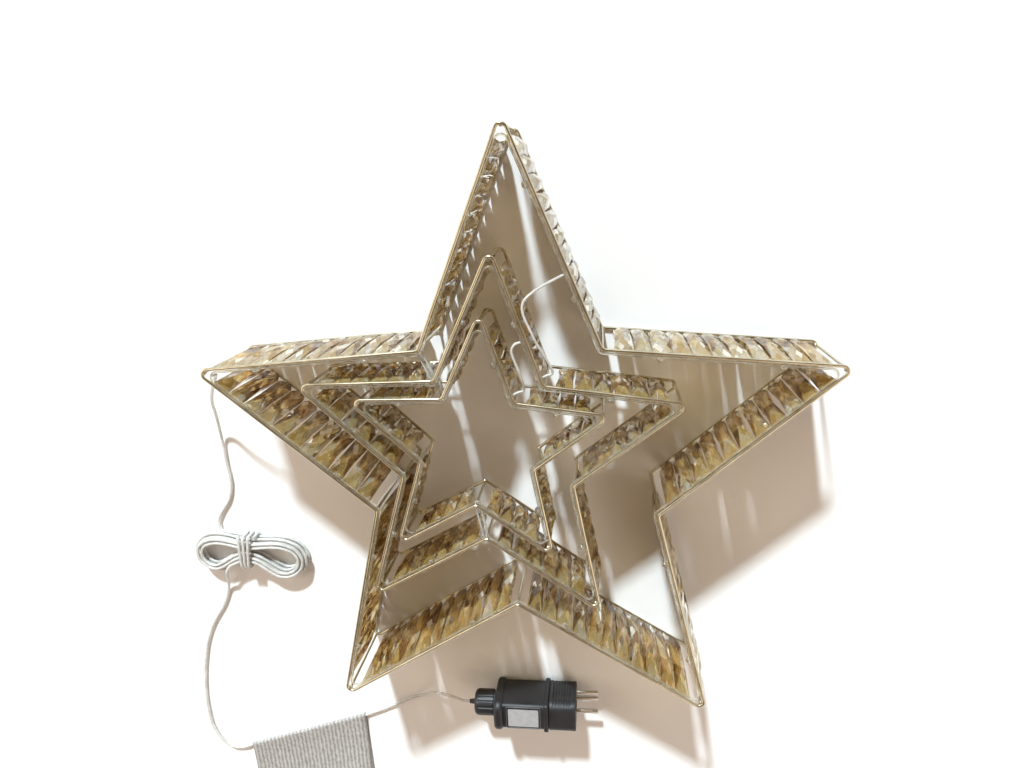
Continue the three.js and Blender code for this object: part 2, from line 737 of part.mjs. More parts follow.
function connector() {
  const plug = SOCKET / 2 - SEAT;
  const shoulder = -(NECK_LENGTH + SEAT);
  const collar = shoulder - COLLAR_LENGTH;
  const tip = SOCKET_DEPTH - NECK_LENGTH - PLUG_SHORT;
  return turned([[collar - TAIL_LENGTH, 0], [collar - TAIL_LENGTH, TAIL / 2], [collar, TAIL / 2],
    [collar, plug + COLLAR_RIM], [shoulder, plug + COLLAR_RIM], [shoulder, plug], [tip, plug],
    [tip, 0]], SOCKET_SIDES);
}

function pinPlaces() {
  return [
    ['line_pin', PIN_SPACING / 2, -PIN_DROP],
    ['neutral_pin', -PIN_SPACING / 2, -PIN_DROP],
    ['earth_pin', 0, -PIN_DROP - EARTH_OFFSET],
  ];
}

function adapterShell(from) {
  const shell = block(from, ADAPTER_LENGTH, ADAPTER_WIDTH, ADAPTER_HEIGHT, CORNER, EDGE);
  const grips = [1, -1].map((side) => rodAlongX(from + GRIP_WALL, ADAPTER_LENGTH - 2 * GRIP_WALL,
    side * (ADAPTER_WIDTH / 2 + GRIP_RADIUS - GRIP_DEPTH), GRIP_RISE, 2 * GRIP_RADIUS, GRIP_SIDES));
  const root = from + ADAPTER_LENGTH - PIN_ROOT - SEAT;
  const holes = pinPlaces().map(([, y, z]) => (
    rodAlongX(root, 2 * PIN_ROOT, y, z, PIN + 2 * SEAT, PIN_SIDES)
  ));
  return cut(shell, [...grips, ...holes]);
}

function pin(face) {
  const root = face - PIN_ROOT;
  const tip = face + PIN_LENGTH;
  const radius = PIN / 2;
  const taper = [[tip - PIN_TAPER, radius], [tip, radius - PIN_TAPER]];
  return turned([[root, 0], [root, radius], ...taper, [tip, 0]], PIN_SIDES);
}

function buildDriver() {
  const driver = new THREE.Group();
  driver.position.set(DRIVER_X, DRIVER_Y, FLANGE_HEIGHT / 2);
  driver.add(piece('driver_body', driverBody(), black));
  driver.add(piece('union_nut', unionNut(), black));
  driver.add(piece('seal_ring', sealRing(), sealRubber));
  driver.add(piece('lead_connector', connector(), black));
  const from = FLANGE_LENGTH + BODY_LENGTH + SEAT;
  driver.add(piece('adapter_shell', adapterShell(from), black));
  pinPlaces().forEach(([name, y, z]) => {
    const mesh = piece(name, pin(from + ADAPTER_LENGTH), steel);
    mesh.position.set(0, y, z);
    driver.add(mesh);
  });
  const film = new THREE.BoxGeometry(LABEL_LENGTH, LABEL_WIDTH, LABEL_WALL);
  const label = piece('rating_label', film, paper);
  const labelMiddle = FLANGE_LENGTH + LABEL_INSET + LABEL_LENGTH / 2;
  label.position.set(labelMiddle, 0, (BODY_HEIGHT + LABEL_WALL) / 2 + SEAT);
  driver.add(label);
  return driver;
}

// Assembly
const large = buildStar('large', LARGE_TIP, LARGE_NOTCH, LARGE_DEPTH, LARGE_WALL_BULBS);
const medium = buildStar('medium', MEDIUM_TIP, MEDIUM_NOTCH, MEDIUM_DEPTH, INNER_WALL_BULBS);
medium.position.set(MEDIUM_SHIFT_X, MEDIUM_SHIFT_Y, LARGE_DEPTH - MEDIUM_DEPTH);
medium.rotation.z = THREE.MathUtils.degToRad(MEDIUM_TURN_DEGREES);
const small = buildStar('small', SMALL_TIP, SMALL_NOTCH, SMALL_DEPTH, INNER_WALL_BULBS);
small.position.set(SMALL_SHIFT_X, SMALL_SHIFT_Y, LARGE_DEPTH - SMALL_DEPTH);
small.rotation.z = THREE.MathUtils.degToRad(SMALL_TURN_DEGREES);

const product = new THREE.Group();
product.add(large, medium, small);
product.add(tie('upper_left_tie', large, medium, UPPER_LEFT_NOTCH_INDEX, 0));
product.add(tie('upper_left_inner_tie', medium, small, UPPER_LEFT_NOTCH_INDEX, 1));
product.add(tie('left_tie', large, medium, LOWER_LEFT_NOTCH_INDEX, 0));
product.add(tie('bottom_inner_tie', medium, small, BOTTOM_NOTCH_INDEX, 0));

const hank = buildHank();
const driver = buildDriver();
product.add(hank, driver);

const vector = ([x, y, z]) => new THREE.Vector3(x, y, z);
product.add(cable('outer_link_cable', [...offWall(large, UPPER_RIGHT_NOTCH_INDEX, LINK_SHARE),
  ...LARGE_LINK_ROUTE.map(vector), ...intoNotch(medium, UPPER_RIGHT_NOTCH_INDEX)], CABLE));
product.add(cable('inner_link_cable', [...offWall(medium, UPPER_RIGHT_NOTCH_INDEX, LINK_SHARE),
  ...MEDIUM_LINK_ROUTE.map(vector), ...intoNotch(small, UPPER_RIGHT_NOTCH_INDEX)], CABLE));

// The lead leaves the light cable in the left tip and lies on the floor as far as the driver
const leadTop = large.userData.frontHeight - CABLE / 2 - SEAT;
const leadStart = placed(large, large.userData.cableBends[LEFT_TIP_INDEX], leadTop);
const { line } = hank.userData;
const hankEntry = line[0].clone().sub(line[1]).setLength(SEAT).add(line[0]);
const hankExit = line.at(-1).clone().sub(line.at(-2)).setLength(SEAT).add(line.at(-1));
const beforeHank = line[0].clone().sub(line[1]).setLength(2 * LEAD).add(line[0]);
const afterHank = line.at(-1).clone().sub(line.at(-2)).setLength(2 * LEAD).add(line.at(-1));
product.add(cable('lead_to_hank', [leadStart, leadStart.clone().setZ(leadStart.z - 2 * LEAD),
  ...HANK_ROUTE.map(vector), beforeHank, hankEntry], LEAD));

const tagFrom = vector(TAG_FROM);
const tagTo = vector(TAG_TO);
const leadEnd = -(NECK_LENGTH + SEAT + COLLAR_LENGTH + TAIL_LENGTH + SEAT);
const leadMouth = vector([DRIVER_X + leadEnd, DRIVER_Y, FLANGE_HEIGHT / 2]);
const beforeMouth = leadMouth.clone().setX(leadMouth.x - 2 * LEAD);
product.add(cable('lead_to_driver', [hankExit, afterHank, ...TAG_ROUTE.map(vector), tagFrom, tagTo,
  ...DRIVER_ROUTE.map(vector), beforeMouth, leadMouth], LEAD));
product.add(tag(tagFrom, tagTo));

// The large star's middle in plan is the origin
const outline = new THREE.Box3().setFromObject(large.getObjectByName('large_rear_frame'));
const middle = outline.getCenter(new THREE.Vector3());
product.position.set(-middle.x, -middle.y, 0);

export default product;
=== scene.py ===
# %% [markdown]
# # A light-up Christmas star
# Three nested stars of gilt rod lie on their backs. Each is walled with faceted amber crystal
# and lit by a clear cable of small bulbs. A clear lead runs from the left tip through a tied
# hank and a bare tag to the black driver with its three pins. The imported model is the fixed
# frame: every piece here is in metres, in the same place as its CAD solid.

import math
import random

import bmesh
import bpy
from mathutils import Matrix, Vector


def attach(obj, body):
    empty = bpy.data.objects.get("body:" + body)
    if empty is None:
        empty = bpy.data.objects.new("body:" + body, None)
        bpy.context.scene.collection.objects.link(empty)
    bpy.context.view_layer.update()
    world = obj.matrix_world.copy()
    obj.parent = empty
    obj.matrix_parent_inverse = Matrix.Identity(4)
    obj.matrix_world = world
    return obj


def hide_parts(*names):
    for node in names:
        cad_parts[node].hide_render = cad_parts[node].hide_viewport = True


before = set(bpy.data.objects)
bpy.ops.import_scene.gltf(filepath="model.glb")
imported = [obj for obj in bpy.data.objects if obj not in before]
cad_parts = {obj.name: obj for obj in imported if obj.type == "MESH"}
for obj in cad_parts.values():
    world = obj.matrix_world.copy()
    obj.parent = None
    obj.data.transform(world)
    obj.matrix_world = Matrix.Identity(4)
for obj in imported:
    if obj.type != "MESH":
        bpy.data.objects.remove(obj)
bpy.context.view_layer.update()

MM = 0.001
# The large star's middle, from which all routes are measured
MIDDLE = Vector((0, -22.2126, 0)) * MM


def point(x, y, z):
    """A point given in millimetres from the large star's middle."""
    return Vector((x, y, z)) * MM + MIDDLE


# %% [markdown]
# ## Camera
# The photograph looks down on the star from nearly overhead. The lens and the place come from
# fitting the star's corners, and the camera's axes are given as three columns of a matrix.

# %% The camera
LENS_MM = 26.37
SENSOR_MM = 36
RIGHT = Vector((0.9932, -0.0343, -0.1110)).normalized()
FORWARD = Vector((-0.1161, -0.2662, -0.9569)).normalized()
CAMERA_PLACE = (0.0624, 0.1813, 0.579)
NEAREST = 0.01

camera = bpy.data.objects.new("camera", bpy.data.cameras.new("camera"))
bpy.context.scene.collection.objects.link(camera)
camera.data.lens = LENS_MM
camera.data.sensor_width = SENSOR_MM
right = (RIGHT - FORWARD * RIGHT.dot(FORWARD)).normalized()
axes = Matrix((right, right.cross(FORWARD), -FORWARD)).transposed()
camera.matrix_world = Matrix.Translation(CAMERA_PLACE) @ axes.to_4x4()
camera.data.clip_start = NEAREST
bpy.context.scene.camera = camera
print("camera at", list(camera.location))

# %% [markdown]
# ## Materials
# Every finish is made of nodes. Shader sums are easier to read as sums, so a small class lets a
# node's output be added and multiplied like a number, and one method makes every other node.


# %% Sums on sockets
class Value:
    """A node's output that can be used in a sum."""

    def __init__(self, recipe, socket):
        self.recipe = recipe
        self.socket = socket

    def __add__(self, other):
        return self.recipe.maths("ADD", self, other)

    def __sub__(self, other):
        return self.recipe.maths("SUBTRACT", self, other)

    def __mul__(self, other):
        return self.recipe.maths("MULTIPLY", self, other)


class Recipe:
    """A material in the making: each method adds a node and gives back its output."""

    def __init__(self, name):
        self.material = bpy.data.materials.new(name)
        self.material.use_nodes = True
        self.nodes = self.material.node_tree.nodes
        self.links = self.material.node_tree.links
        self.nodes.clear()

    def node(self, kind, sockets=None, output=0, stops=None, **settings):
        """Any node: its settings and a ramp's stops come first, then its sockets."""
        made = self.nodes.new(kind)
        for name, value in settings.items():
            setattr(made, name, value)
        if stops:
            ramp = made.color_ramp.elements
            while len(ramp) < len(stops):
                ramp.new(1)
            for element, (place, colour) in zip(ramp, stops):
                element.position = place
                element.color = (*colour, 1)
        for name, value in (sockets or {}).items():
            if isinstance(value, Value):
                self.links.new(value.socket, made.inputs[name])
            else:
                made.inputs[name].default_value = value
        return Value(self, made.outputs[output])

    def place(self):
        """The object's own coordinates."""
        return self.node("ShaderNodeTexCoord", output="Object")

    def noise(self, scale, detail=3):
        sockets = {"Vector": self.place(), "Scale": scale, "Detail": detail}
        return self.node("ShaderNodeTexNoise", sockets, "Fac")

    def maths(self, operation, *values):
        return self.node("ShaderNodeMath", dict(enumerate(values)), operation=operation)

    def vector(self, operation, *values):
        return self.node("ShaderNodeVectorMath", dict(enumerate(values)), operation=operation)

    def bump(self, height, strength, distance):
        sockets = {"Height": height, "Strength": strength, "Distance": distance}
        return self.node("ShaderNodeBump", sockets, "Normal")

    def colours(self, factor, *stops):
        return self.node("ShaderNodeValToRGB", {"Fac": factor}, "Color", stops)

    def finish(self, **sockets):
        """The main shader, its sockets named with underscores for spaces."""
        named = {name.replace("_", " "): value for name, value in sockets.items()}
        shader = self.node("ShaderNodeBsdfPrincipled", named)
        self.node_out(shader)
        return self.material

    def node_out(self, shader):
        out = self.nodes.new("ShaderNodeOutputMaterial")
        self.links.new(shader.socket, out.inputs["Surface"])


def show(*finishes):
    """Prints each finish with the number of its nodes."""
    for finish in finishes:
        print("finish", finish.name, "has", len(finish.node_tree.nodes), "nodes")


# %% [markdown]
# The rods are gilt: a pale gold that is a little duller where hands have been, with the fine
# marks of drawn wire. Noise on the object's own coordinates drives colour, roughness and a faint
# bump.


# %% Gilt rod
def gilt_finish():
    recipe = Recipe("gilt")
    wear = recipe.noise(scale=45)
    drawn = recipe.noise(scale=900, detail=2)
    colour = recipe.colours(wear, (0.3, (0.52, 0.47, 0.33)), (0.7, (0.72, 0.68, 0.54)))
    return recipe.finish(
        Base_Color=colour, Metallic=1.0, Roughness=wear * 0.16 + 0.16,
        Normal=recipe.bump(drawn, strength=0.15, distance=0.0002))


gilt = gilt_finish()
show(gilt)

# %% [markdown]
# The crystal is clear amber plastic. Each facet shows another part of what is inside, so a
# facet's own tone, kept as an attribute of its face, goes from dark brown to pale straw. Inside
# a real tile the facets of its far side are seen too, as long slivers that cross. Two sets of
# slanting bands on the tile's own coordinates stand for them. Each crossing shifts tone and hue
# by chance and tips the surface another way, so that it picks up another reflection, and one in
# ten is like a mirror. The polished edges along a tile's sides and its ridge are painted as fine
# pale lines, a painted highlight.


# %% Amber crystal
# Bands per tile, across and upward, of the two slanting sets
LEANING = (2.6, 5.3)
FALLING = (3.1, -4.4)
# Crossings drawn above this number are mirrors
MIRROR_FROM = 0.90
# Where the painted highlight lines lie, as shares of the tile's width, and how pale they are
# painted
RIM_FROM, RIM_PAINTED_HIGHLIGHT = 0.462, 0.78
RIDGE_TO, RIDGE_PAINTED_HIGHLIGHT = 0.022, 0.72
# How far a crossing tips the surface, and how far apart two tiles' patterns are
TIPPING = 0.34
TILE_STRIDE = 97


def crystal_finish():
    recipe = Recipe("amber_crystal")
    tone = recipe.node("ShaderNodeAttribute", output="Fac", attribute_name="tone")
    cut = recipe.node("ShaderNodeAttribute", output="Vector", attribute_name="cut")
    across, upward, tile = [
        recipe.node("ShaderNodeSeparateXYZ", {"Vector": cut}, axis) for axis in ("X", "Y", "Z")]
    leaning, falling = [
        recipe.maths("FLOOR", across * sideways_count + upward * upward_count)
        for sideways_count, upward_count in (LEANING, FALLING)]
    crossing = recipe.node(
        "ShaderNodeCombineXYZ", {"X": leaning, "Y": falling, "Z": tile * TILE_STRIDE})
    cells = recipe.node("ShaderNodeTexWhiteNoise", {"Vector": crossing}, "Color")
    grey, hue, chosen = [
        recipe.node("ShaderNodeSeparateColor", {"Color": cells}, channel)
        for channel in ("Red", "Green", "Blue")]
    mirror = recipe.maths("GREATER_THAN", chosen, MIRROR_FROM)
    sideways = recipe.maths("ABSOLUTE", across)
    # The tile's side edges and its ridge are painted pale: a painted highlight of polished edges
    rim_highlight_mask = recipe.maths("GREATER_THAN", sideways, RIM_FROM)
    ridge_highlight_mask = recipe.maths("LESS_THAN", sideways, RIDGE_TO)
    painted_highlight_or_mirror = recipe.maths("MAXIMUM", rim_highlight_mask * RIM_PAINTED_HIGHLIGHT + ridge_highlight_mask * RIDGE_PAINTED_HIGHLIGHT, mirror)
    mixed = recipe.maths("MAXIMUM", tone * 0.78 + grey * 0.30, painted_highlight_or_mirror)
    brown = recipe.colours(
        mixed, (0.08, (0.040, 0.015, 0.006)), (0.34, (0.35, 0.160, 0.042)),
        (0.62, (0.80, 0.53, 0.175)), (0.88, (0.93, 0.76, 0.39)), (1.0, (1.0, 0.97, 0.88)))
    olive = recipe.colours(
        mixed, (0.08, (0.034, 0.021, 0.006)), (0.34, (0.30, 0.190, 0.042)),
        (0.62, (0.72, 0.54, 0.18)), (0.88, (0.88, 0.77, 0.40)), (1.0, (1.0, 0.97, 0.88)))
    olive_share = recipe.noise(scale=35, detail=1) * 1.6 + hue * 0.8 - 0.95
    colour = recipe.node(
        "ShaderNodeMix", {0: olive_share, 6: brown, 7: olive}, output=2, data_type="RGBA")
    face = recipe.node("ShaderNodeNewGeometry", output="Normal")
    centred = recipe.vector("SUBTRACT", cells, (0.5, 0.5, 0.5))
    lean = recipe.vector("MULTIPLY", centred, (TIPPING, TIPPING, TIPPING))
    tipped = recipe.vector("NORMALIZE", recipe.vector("ADD", face, lean))
    return recipe.finish(
        Base_Color=colour, Metallic=mirror * 0.9, Roughness=grey * 0.06 + 0.02, IOR=1.5,
        Transmission_Weight=0.8, Normal=tipped)


crystal = crystal_finish()
show(crystal)

# %% [markdown]
# Clear soft plastic looks grey-white over its fine wires. The cable, the moulded bulbs and the
# ties are all clear, but the bulbs are clearer and the ties are smoother.


# %% Clear plastics
def clear_finish(name, low, high, transmission, roughness):
    recipe = Recipe(name)
    cloud = recipe.noise(scale=160)
    return recipe.finish(
        Base_Color=recipe.colours(cloud, (0.3, low), (0.7, high)),
        Roughness=cloud * 0.12 + roughness, IOR=1.46, Transmission_Weight=transmission,
        Normal=recipe.bump(cloud, strength=0.08, distance=0.0003))


clear_cable = clear_finish(
    "clear_cable", low=(0.66, 0.655, 0.63), high=(0.90, 0.895, 0.87),
    transmission=0.34, roughness=0.14)
clear_light = clear_finish(
    "clear_light", low=(0.74, 0.72, 0.62), high=(0.93, 0.92, 0.84),
    transmission=0.92, roughness=0.04)
clear_nylon = clear_finish(
    "clear_nylon", low=(0.72, 0.73, 0.72), high=(0.86, 0.87, 0.86),
    transmission=0.45, roughness=0.12)
show(clear_cable, clear_light, clear_nylon)

# %% [markdown]
# The driver is a matt black moulding with a fine spark-eroded grain. Its raised line is painted
# paler, a painted highlight where a fine edge catches the light. The seal is softer and duller.


# %% Black plastic and rubber
def black_finish(name, low, high, roughness, grain):
    recipe = Recipe(name)
    cloud = recipe.noise(scale=60)
    spark = recipe.noise(scale=2600, detail=2)
    return recipe.finish(
        Base_Color=recipe.colours(cloud, (0.3, low), (0.7, high)),
        Roughness=cloud * 0.14 + roughness,
        Normal=recipe.bump(spark, strength=grain, distance=0.0002))


black_plastic = black_finish(
    "black_plastic", low=(0.0085, 0.0085, 0.010), high=(0.017, 0.017, 0.020),
    roughness=0.43, grain=0.35)
# A paler black for the raised line round the label: a painted highlight
painted_highlight_black = black_finish(
    "painted_highlight_black", low=(0.05, 0.05, 0.053), high=(0.09, 0.09, 0.094), roughness=0.30, grain=0.25)
seal_rubber = black_finish(
    "seal_rubber", low=(0.035, 0.035, 0.035), high=(0.06, 0.06, 0.06), roughness=0.68, grain=0.5)
show(black_plastic, painted_highlight_black, seal_rubber)

# %% [markdown]
# The pins are bright metal with a few long scratches from use. The label is a smooth white film,
# and the tag a thin woven tape: ribs about 4 mm apart run from its fold to its edge, with fine
# threads across them. They follow the tape's own measure, kept as an attribute, when it is
# skewed.


# %% Pins, label and tag
SCRATCH_STRETCH = (40.0, 1400.0, 1400.0)
# A wave texture of scale 1 has a band every 0.314 m
RIB_SCALE = 77.0
THREAD_SCALE = 390.0


def pin_finish():
    recipe = Recipe("pin_metal")
    stretched = recipe.node(
        "ShaderNodeMapping", {"Vector": recipe.place(), "Scale": SCRATCH_STRETCH})
    scratch = recipe.node("ShaderNodeTexNoise", {"Vector": stretched, "Scale": 1.0}, "Fac")
    colour = recipe.colours(scratch, (0.3, (0.50, 0.49, 0.47)), (0.7, (0.70, 0.69, 0.66)))
    return recipe.finish(
        Base_Color=colour, Metallic=1.0, Roughness=scratch * 0.2 + 0.14,
        Normal=recipe.bump(scratch, strength=0.1, distance=0.0002))


def film_finish():
    recipe = Recipe("label_film")
    cloud = recipe.noise(scale=220)
    return recipe.finish(
        Base_Color=recipe.colours(cloud, (0.3, (0.34, 0.34, 0.355)), (0.7, (0.41, 0.41, 0.425))),
        Roughness=cloud * 0.1 + 0.34, Normal=recipe.bump(cloud, strength=0.05, distance=0.0002))


def tape_finish():
    recipe = Recipe("tag_fabric")
    weave = recipe.node("ShaderNodeAttribute", output="Vector", attribute_name="weave")
    sockets = {"Vector": weave, "Distortion": 2.4, "Detail Scale": 3.0}
    ribs, threads = [
        recipe.node("ShaderNodeTexWave", {**sockets, "Scale": scale}, "Fac",
                    bands_direction=direction)
        for direction, scale in (("X", RIB_SCALE), ("Y", THREAD_SCALE))]
    mixed = ribs * 0.40 + recipe.noise(scale=330, detail=2) * 0.60
    raised = ribs * 0.7 + threads * 0.3
    return recipe.finish(
        Base_Color=recipe.colours(mixed, (0.25, (0.24, 0.23, 0.22)), (0.75, (0.50, 0.48, 0.46))),
        Roughness=0.85, Normal=recipe.bump(raised, strength=0.3, distance=0.0003))


pin_metal = pin_finish()
label_film = film_finish()
tag_fabric = tape_finish()
show(pin_metal, label_film, tag_fabric)

# %% [markdown]
# ## From points to tubes
# Rods, cables and the wound lead are all tubes. A curve with a round bevel gives the tube, and
# its mesh is kept, so that tubes can be joined with posts and bulbs into one piece.


# %% Helpers for pieces
def tube_mesh(points, radius, closed=False, resolution=4):
    """The mesh of a round tube through the points."""
    curve = bpy.data.curves.new("tube", "CURVE")
    curve.dimensions = "3D"
    curve.bevel_depth = radius
    curve.bevel_resolution = resolution
    curve.use_fill_caps = not closed
    spline = curve.splines.new("POLY")
    spline.points.add(len(points) - 1)
    for spot, place in zip(spline.points, points):
        spot.co = (*place, 1)
    spline.use_cyclic_u = closed
    holder = bpy.data.objects.new("tube", curve)
    bpy.context.scene.collection.objects.link(holder)
    mesh = bpy.data.meshes.new_from_object(
        holder.evaluated_get(bpy.context.evaluated_depsgraph_get()))
    bpy.data.objects.remove(holder)
    bpy.data.curves.remove(curve)
    return mesh


def add_mesh(form, mesh):
    """Adds a mesh to a bmesh and removes it."""
    form.from_mesh(mesh)
    bpy.data.meshes.remove(mesh)


def piece(name, form, material, body="star", replaces=(), smooth=True):
    """A finished piece from a bmesh."""
    mesh = bpy.data.meshes.new(name)
    form.to_mesh(mesh)
    form.free()
    made = bpy.data.objects.new(name, mesh)
    bpy.context.scene.collection.objects.link(made)
    made.data.materials.clear()
    made.data.materials.append(material)
    for face in made.data.polygons:
        face.use_smooth = smooth
    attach(made, body)
    if replaces:
        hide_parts(*replaces)
    print(name, len(made.data.polygons), "faces")
    return made


def catmull(points, step):
    """A smooth line through the points, centripetal, with a point about every step."""
    ends = [points[0] * 2 - points[1], *points, points[-1] * 2 - points[-2]]
    line = []
    for a, b, c, d in zip(ends, ends[1:], ends[2:], ends[3:]):
        knots = [0.0]
        for start, end in ((a, b), (b, c), (c, d)):
            knots.append(knots[-1] + math.sqrt(max((end - start).length, 1e-9)))
        count = max(2, round((c - b).length / step))
        for index in range(count):
            t = knots[1] + (knots[2] - knots[1]) * index / count

            def between(p, q, i, j):
                return p.lerp(q, (t - knots[i]) / (knots[j] - knots[i]))

            ab, bc, cd = between(a, b, 0, 1), between(b, c, 1, 2), between(c, d, 2, 3)
            line.append(between(between(ab, bc, 0, 2), between(bc, cd, 1, 3), 1, 2))
    return [*line, points[-1]]


def length_of(line):
    """A line's length in metres."""
    return sum((after - before).length for before, after in zip(line, line[1:]))


# %% [markdown]
# ## The stars' outlines
# A star has ten corners, tip and notch in turn. The rod is bent at each, so each corner becomes
# a short arc. The inner stars hang in ties and have settled a little to one side.

# %% The three stars
# Thicknesses and bends in millimetres
ROD = 2.5
POST = 2.2
BEND = 3.8
SEAT = 0.3
CABLE = 1.8
CABLE_BEND = 4.0
CABLE_INSET = ROD / 2 + SEAT + CABLE / 2
# How far the crystals stay from a tip and from a notch
TIP_CLEAR = 15.0
NOTCH_CLEAR = 8.0
# All front rods lie at one height
FRONT = 80.0
CORNERS = 10
STARS = {
    "large": {"tip": 243.0, "notch": 109.0, "depth": 80.0, "bulbs": 2,
              "shift": (0.0, 0.0), "turn": 0.0},
    "medium": {"tip": 148.0, "notch": 66.0, "depth": 60.0, "bulbs": 1,
               "shift": (-18.0, 11.0), "turn": -2.9},
    "small": {"tip": 99.5, "notch": 44.0, "depth": 50.0, "bulbs": 1,
              "shift": (-25.5, 16.0), "turn": -3.5},
}


def corners_of(star):
    """Tip and notch in turn, from the top tip leftwards."""
    turns = [math.radians(90 + 360 / CORNERS * corner) for corner in range(CORNERS)]
    reaches = [star["tip"], star["notch"]] * (CORNERS // 2)
    return [Vector((r * math.cos(a), r * math.sin(a), 0)) for r, a in zip(reaches, turns)]


def drawn_in(corners, distance):
    """The outline moved inwards by a distance."""
    wall = corners[1] - corners[0]
    wall_distance = corners[0].cross(wall).length / wall.length
    return [corner * (1 - distance / wall_distance) for corner in corners]


def bends(corners, radius, steps=8):
    """Each corner as the points of its arc."""
    arcs = []
    for index, corner in enumerate(corners):
        arrive = (corner - corners[index - 1]).normalized()
        leave = (corners[(index + 1) % len(corners)] - corner).normalized()
        side = math.copysign(1, arrive.cross(leave).z)
        turn = arrive.angle(leave)
        start = corner - arrive * (radius * math.tan(turn / 2))
        centre = start + Vector((-arrive.y, arrive.x, 0)) * side * radius
        arcs.append([
            centre + Matrix.Rotation(side * turn * step / steps, 3, "Z") @ (start - centre)
            for step in range(steps + 1)])
    return arcs


def matrix_of(star):
    """Where a star stands, from millimetres of its own to metres of the frame."""
    x, y = star["shift"]
    place = Matrix.Translation(point(x, y, FRONT - star["depth"]))
    return place @ Matrix.Rotation(math.radians(star["turn"]), 4, "Z") @ Matrix.Scale(MM, 4)


for name, star in STARS.items():
    star["matrix"] = matrix_of(star)
    star["corners"] = corners_of(star)
    star["front"] = star["depth"] - ROD / 2
    star["inner"] = drawn_in(star["corners"], CABLE_INSET)
    print(name, "wall", round((star["corners"][0] - star["corners"][1]).length, 1), "mm")

# %% [markdown]
# ## The lead
# The lead is one cord: down from the left tip, along the floor to the hank, round its turns,
# through the tag's fold and up into the driver. The hank is laid flat in layers, drawn in at its
# waist and bowed, and each loop lies a diameter from the next. The routes are those of the CAD
# solids.

# %% Routes of the lead
LEAD = 2.6
HANK_ROUTE = [
    (-222.3, 67.5, 66), (-231, 57.5, 56.5), (-244, 40, 38), (-254.5, 19, 16), (-259.5, -3, 4),
    (-259.5, -24, 1.7), (-258, -46, 1.6), (-262, -62, 1.6), (-270, -73, 1.8), (-274.5, -82, 2.8),
    (-272, -89.5, 4)]
TAG_ROUTE = [
    (-267, -125, 13), (-269.5, -132, 11), (-271.5, -140, 6.5), (-274.5, -150, 2.4),
    (-281, -166, 1.6), (-292, -182, 1.6), (-301, -200, 1.6), (-307, -220, 1.6), (-311, -240, 1.6),
    (-313.5, -260, 1.6), (-314, -280, 1.6), (-312, -300, 1.6), (-305, -316, 1.6),
    (-294, -324.5, 1.7), (-284, -324, 2)]
TAG_FROM = (-273, -320, 2)
TAG_TO = (-157, -279.5, 2)
DRIVER_ROUTE = [
    (-146, -275, 2), (-128, -267, 1.6), (-108, -257, 2), (-88, -248, 7), (-72, -243.5, 16)]
MOUTH = (-53.0, -243, 22)
print("routes:", len(HANK_ROUTE), len(TAG_ROUTE), len(DRIVER_ROUTE), "points")

# %% [markdown]
# A turn of the hank is two straight runs and two half circles. The turns wander inwards step by
# step, climb a layer in a quarter turn, and wander out again. The whole is then bowed sideways
# and lifted at its middle, as a bundle is where a tie goes under it.

# %% The hank's turns
# Half a run, the innermost half width, the step between turns, and the widening at the ends
RUN, INNER, STEP, FLARE = 34.0, 2.0, 3.6, 8.0
# A layer's height, the bow's radius, and the lift at the middle
LAYER, BOW, LIFT = 3.1, 75.0, 3.4
# The turns at which the lead climbs, and how much of a turn that takes
CLIMBS = (2.375, 4.875, 7.375)
CLIMB = 0.25
TURNS = 9.5
# A turn starts this much before its first run
PHASE = 0.125
LOOP_STEPS = 24
FINER = 3
LEAD_FLOOR = 0.1
HANK_TURN = math.radians(-4)
HANK_PLACE = Matrix.Translation(point(-246, -106, 0)) @ Matrix.Rotation(HANK_TURN, 4, "Z")


def hank_drift(turn):
    """How far the turns have wandered, in steps inwards, and on which layer."""
    drift, layer, inward, start = 0.0, 0.0, 1, 0.0
    for climb in CLIMBS:
        if turn <= climb:
            break
        drift += inward * (climb - start)
        start = climb + CLIMB
        layer += min((turn - climb) / CLIMB, 1)
        inward = -inward
    return drift + inward * max(turn - start, min(turn, 0)), layer


WAIST = INNER + STEP * hank_drift(CLIMBS[0])[0]


def hank_bend(along, across, up):
    """A point of the straight bundle, bowed and lifted."""
    angle = along / BOW
    radius = BOW + across
    share = min(abs(along) / (RUN + FLARE + WAIST), 1)
    lift = LIFT * math.cos(math.pi / 2 * share) ** 2
    return Vector((radius * math.sin(angle), radius * math.cos(angle) - BOW, up + lift))


def hank_flare(along):
    """How much wider than at its waist a run is."""
    return FLARE * math.sin(math.pi / 2 * along / RUN) ** 2


def hank_point(turn):
    """The centreline after a number of turns: quarters are run, end, run and end."""
    drift, layer = hank_drift(turn)
    waist = WAIST - STEP * drift
    quarters = (turn + PHASE - math.floor(turn + PHASE)) * 4
    quarter = math.floor(quarters)
    share = quarters - quarter
    up = LEAD / 2 + LEAD_FLOOR + LAYER * layer
    side = 1 if quarter < 2 else -1
    if quarter % 2 == 0:
        along = RUN * (2 * share - 1)
        return hank_bend(side * along, side * (waist + hank_flare(along)), up)
    along = RUN + (waist + FLARE) * math.sin(math.pi * share)
    return hank_bend(side * along, side * (waist + FLARE) * math.cos(math.pi * share), up)


def in_place(spot):
    return HANK_PLACE @ (spot * MM)


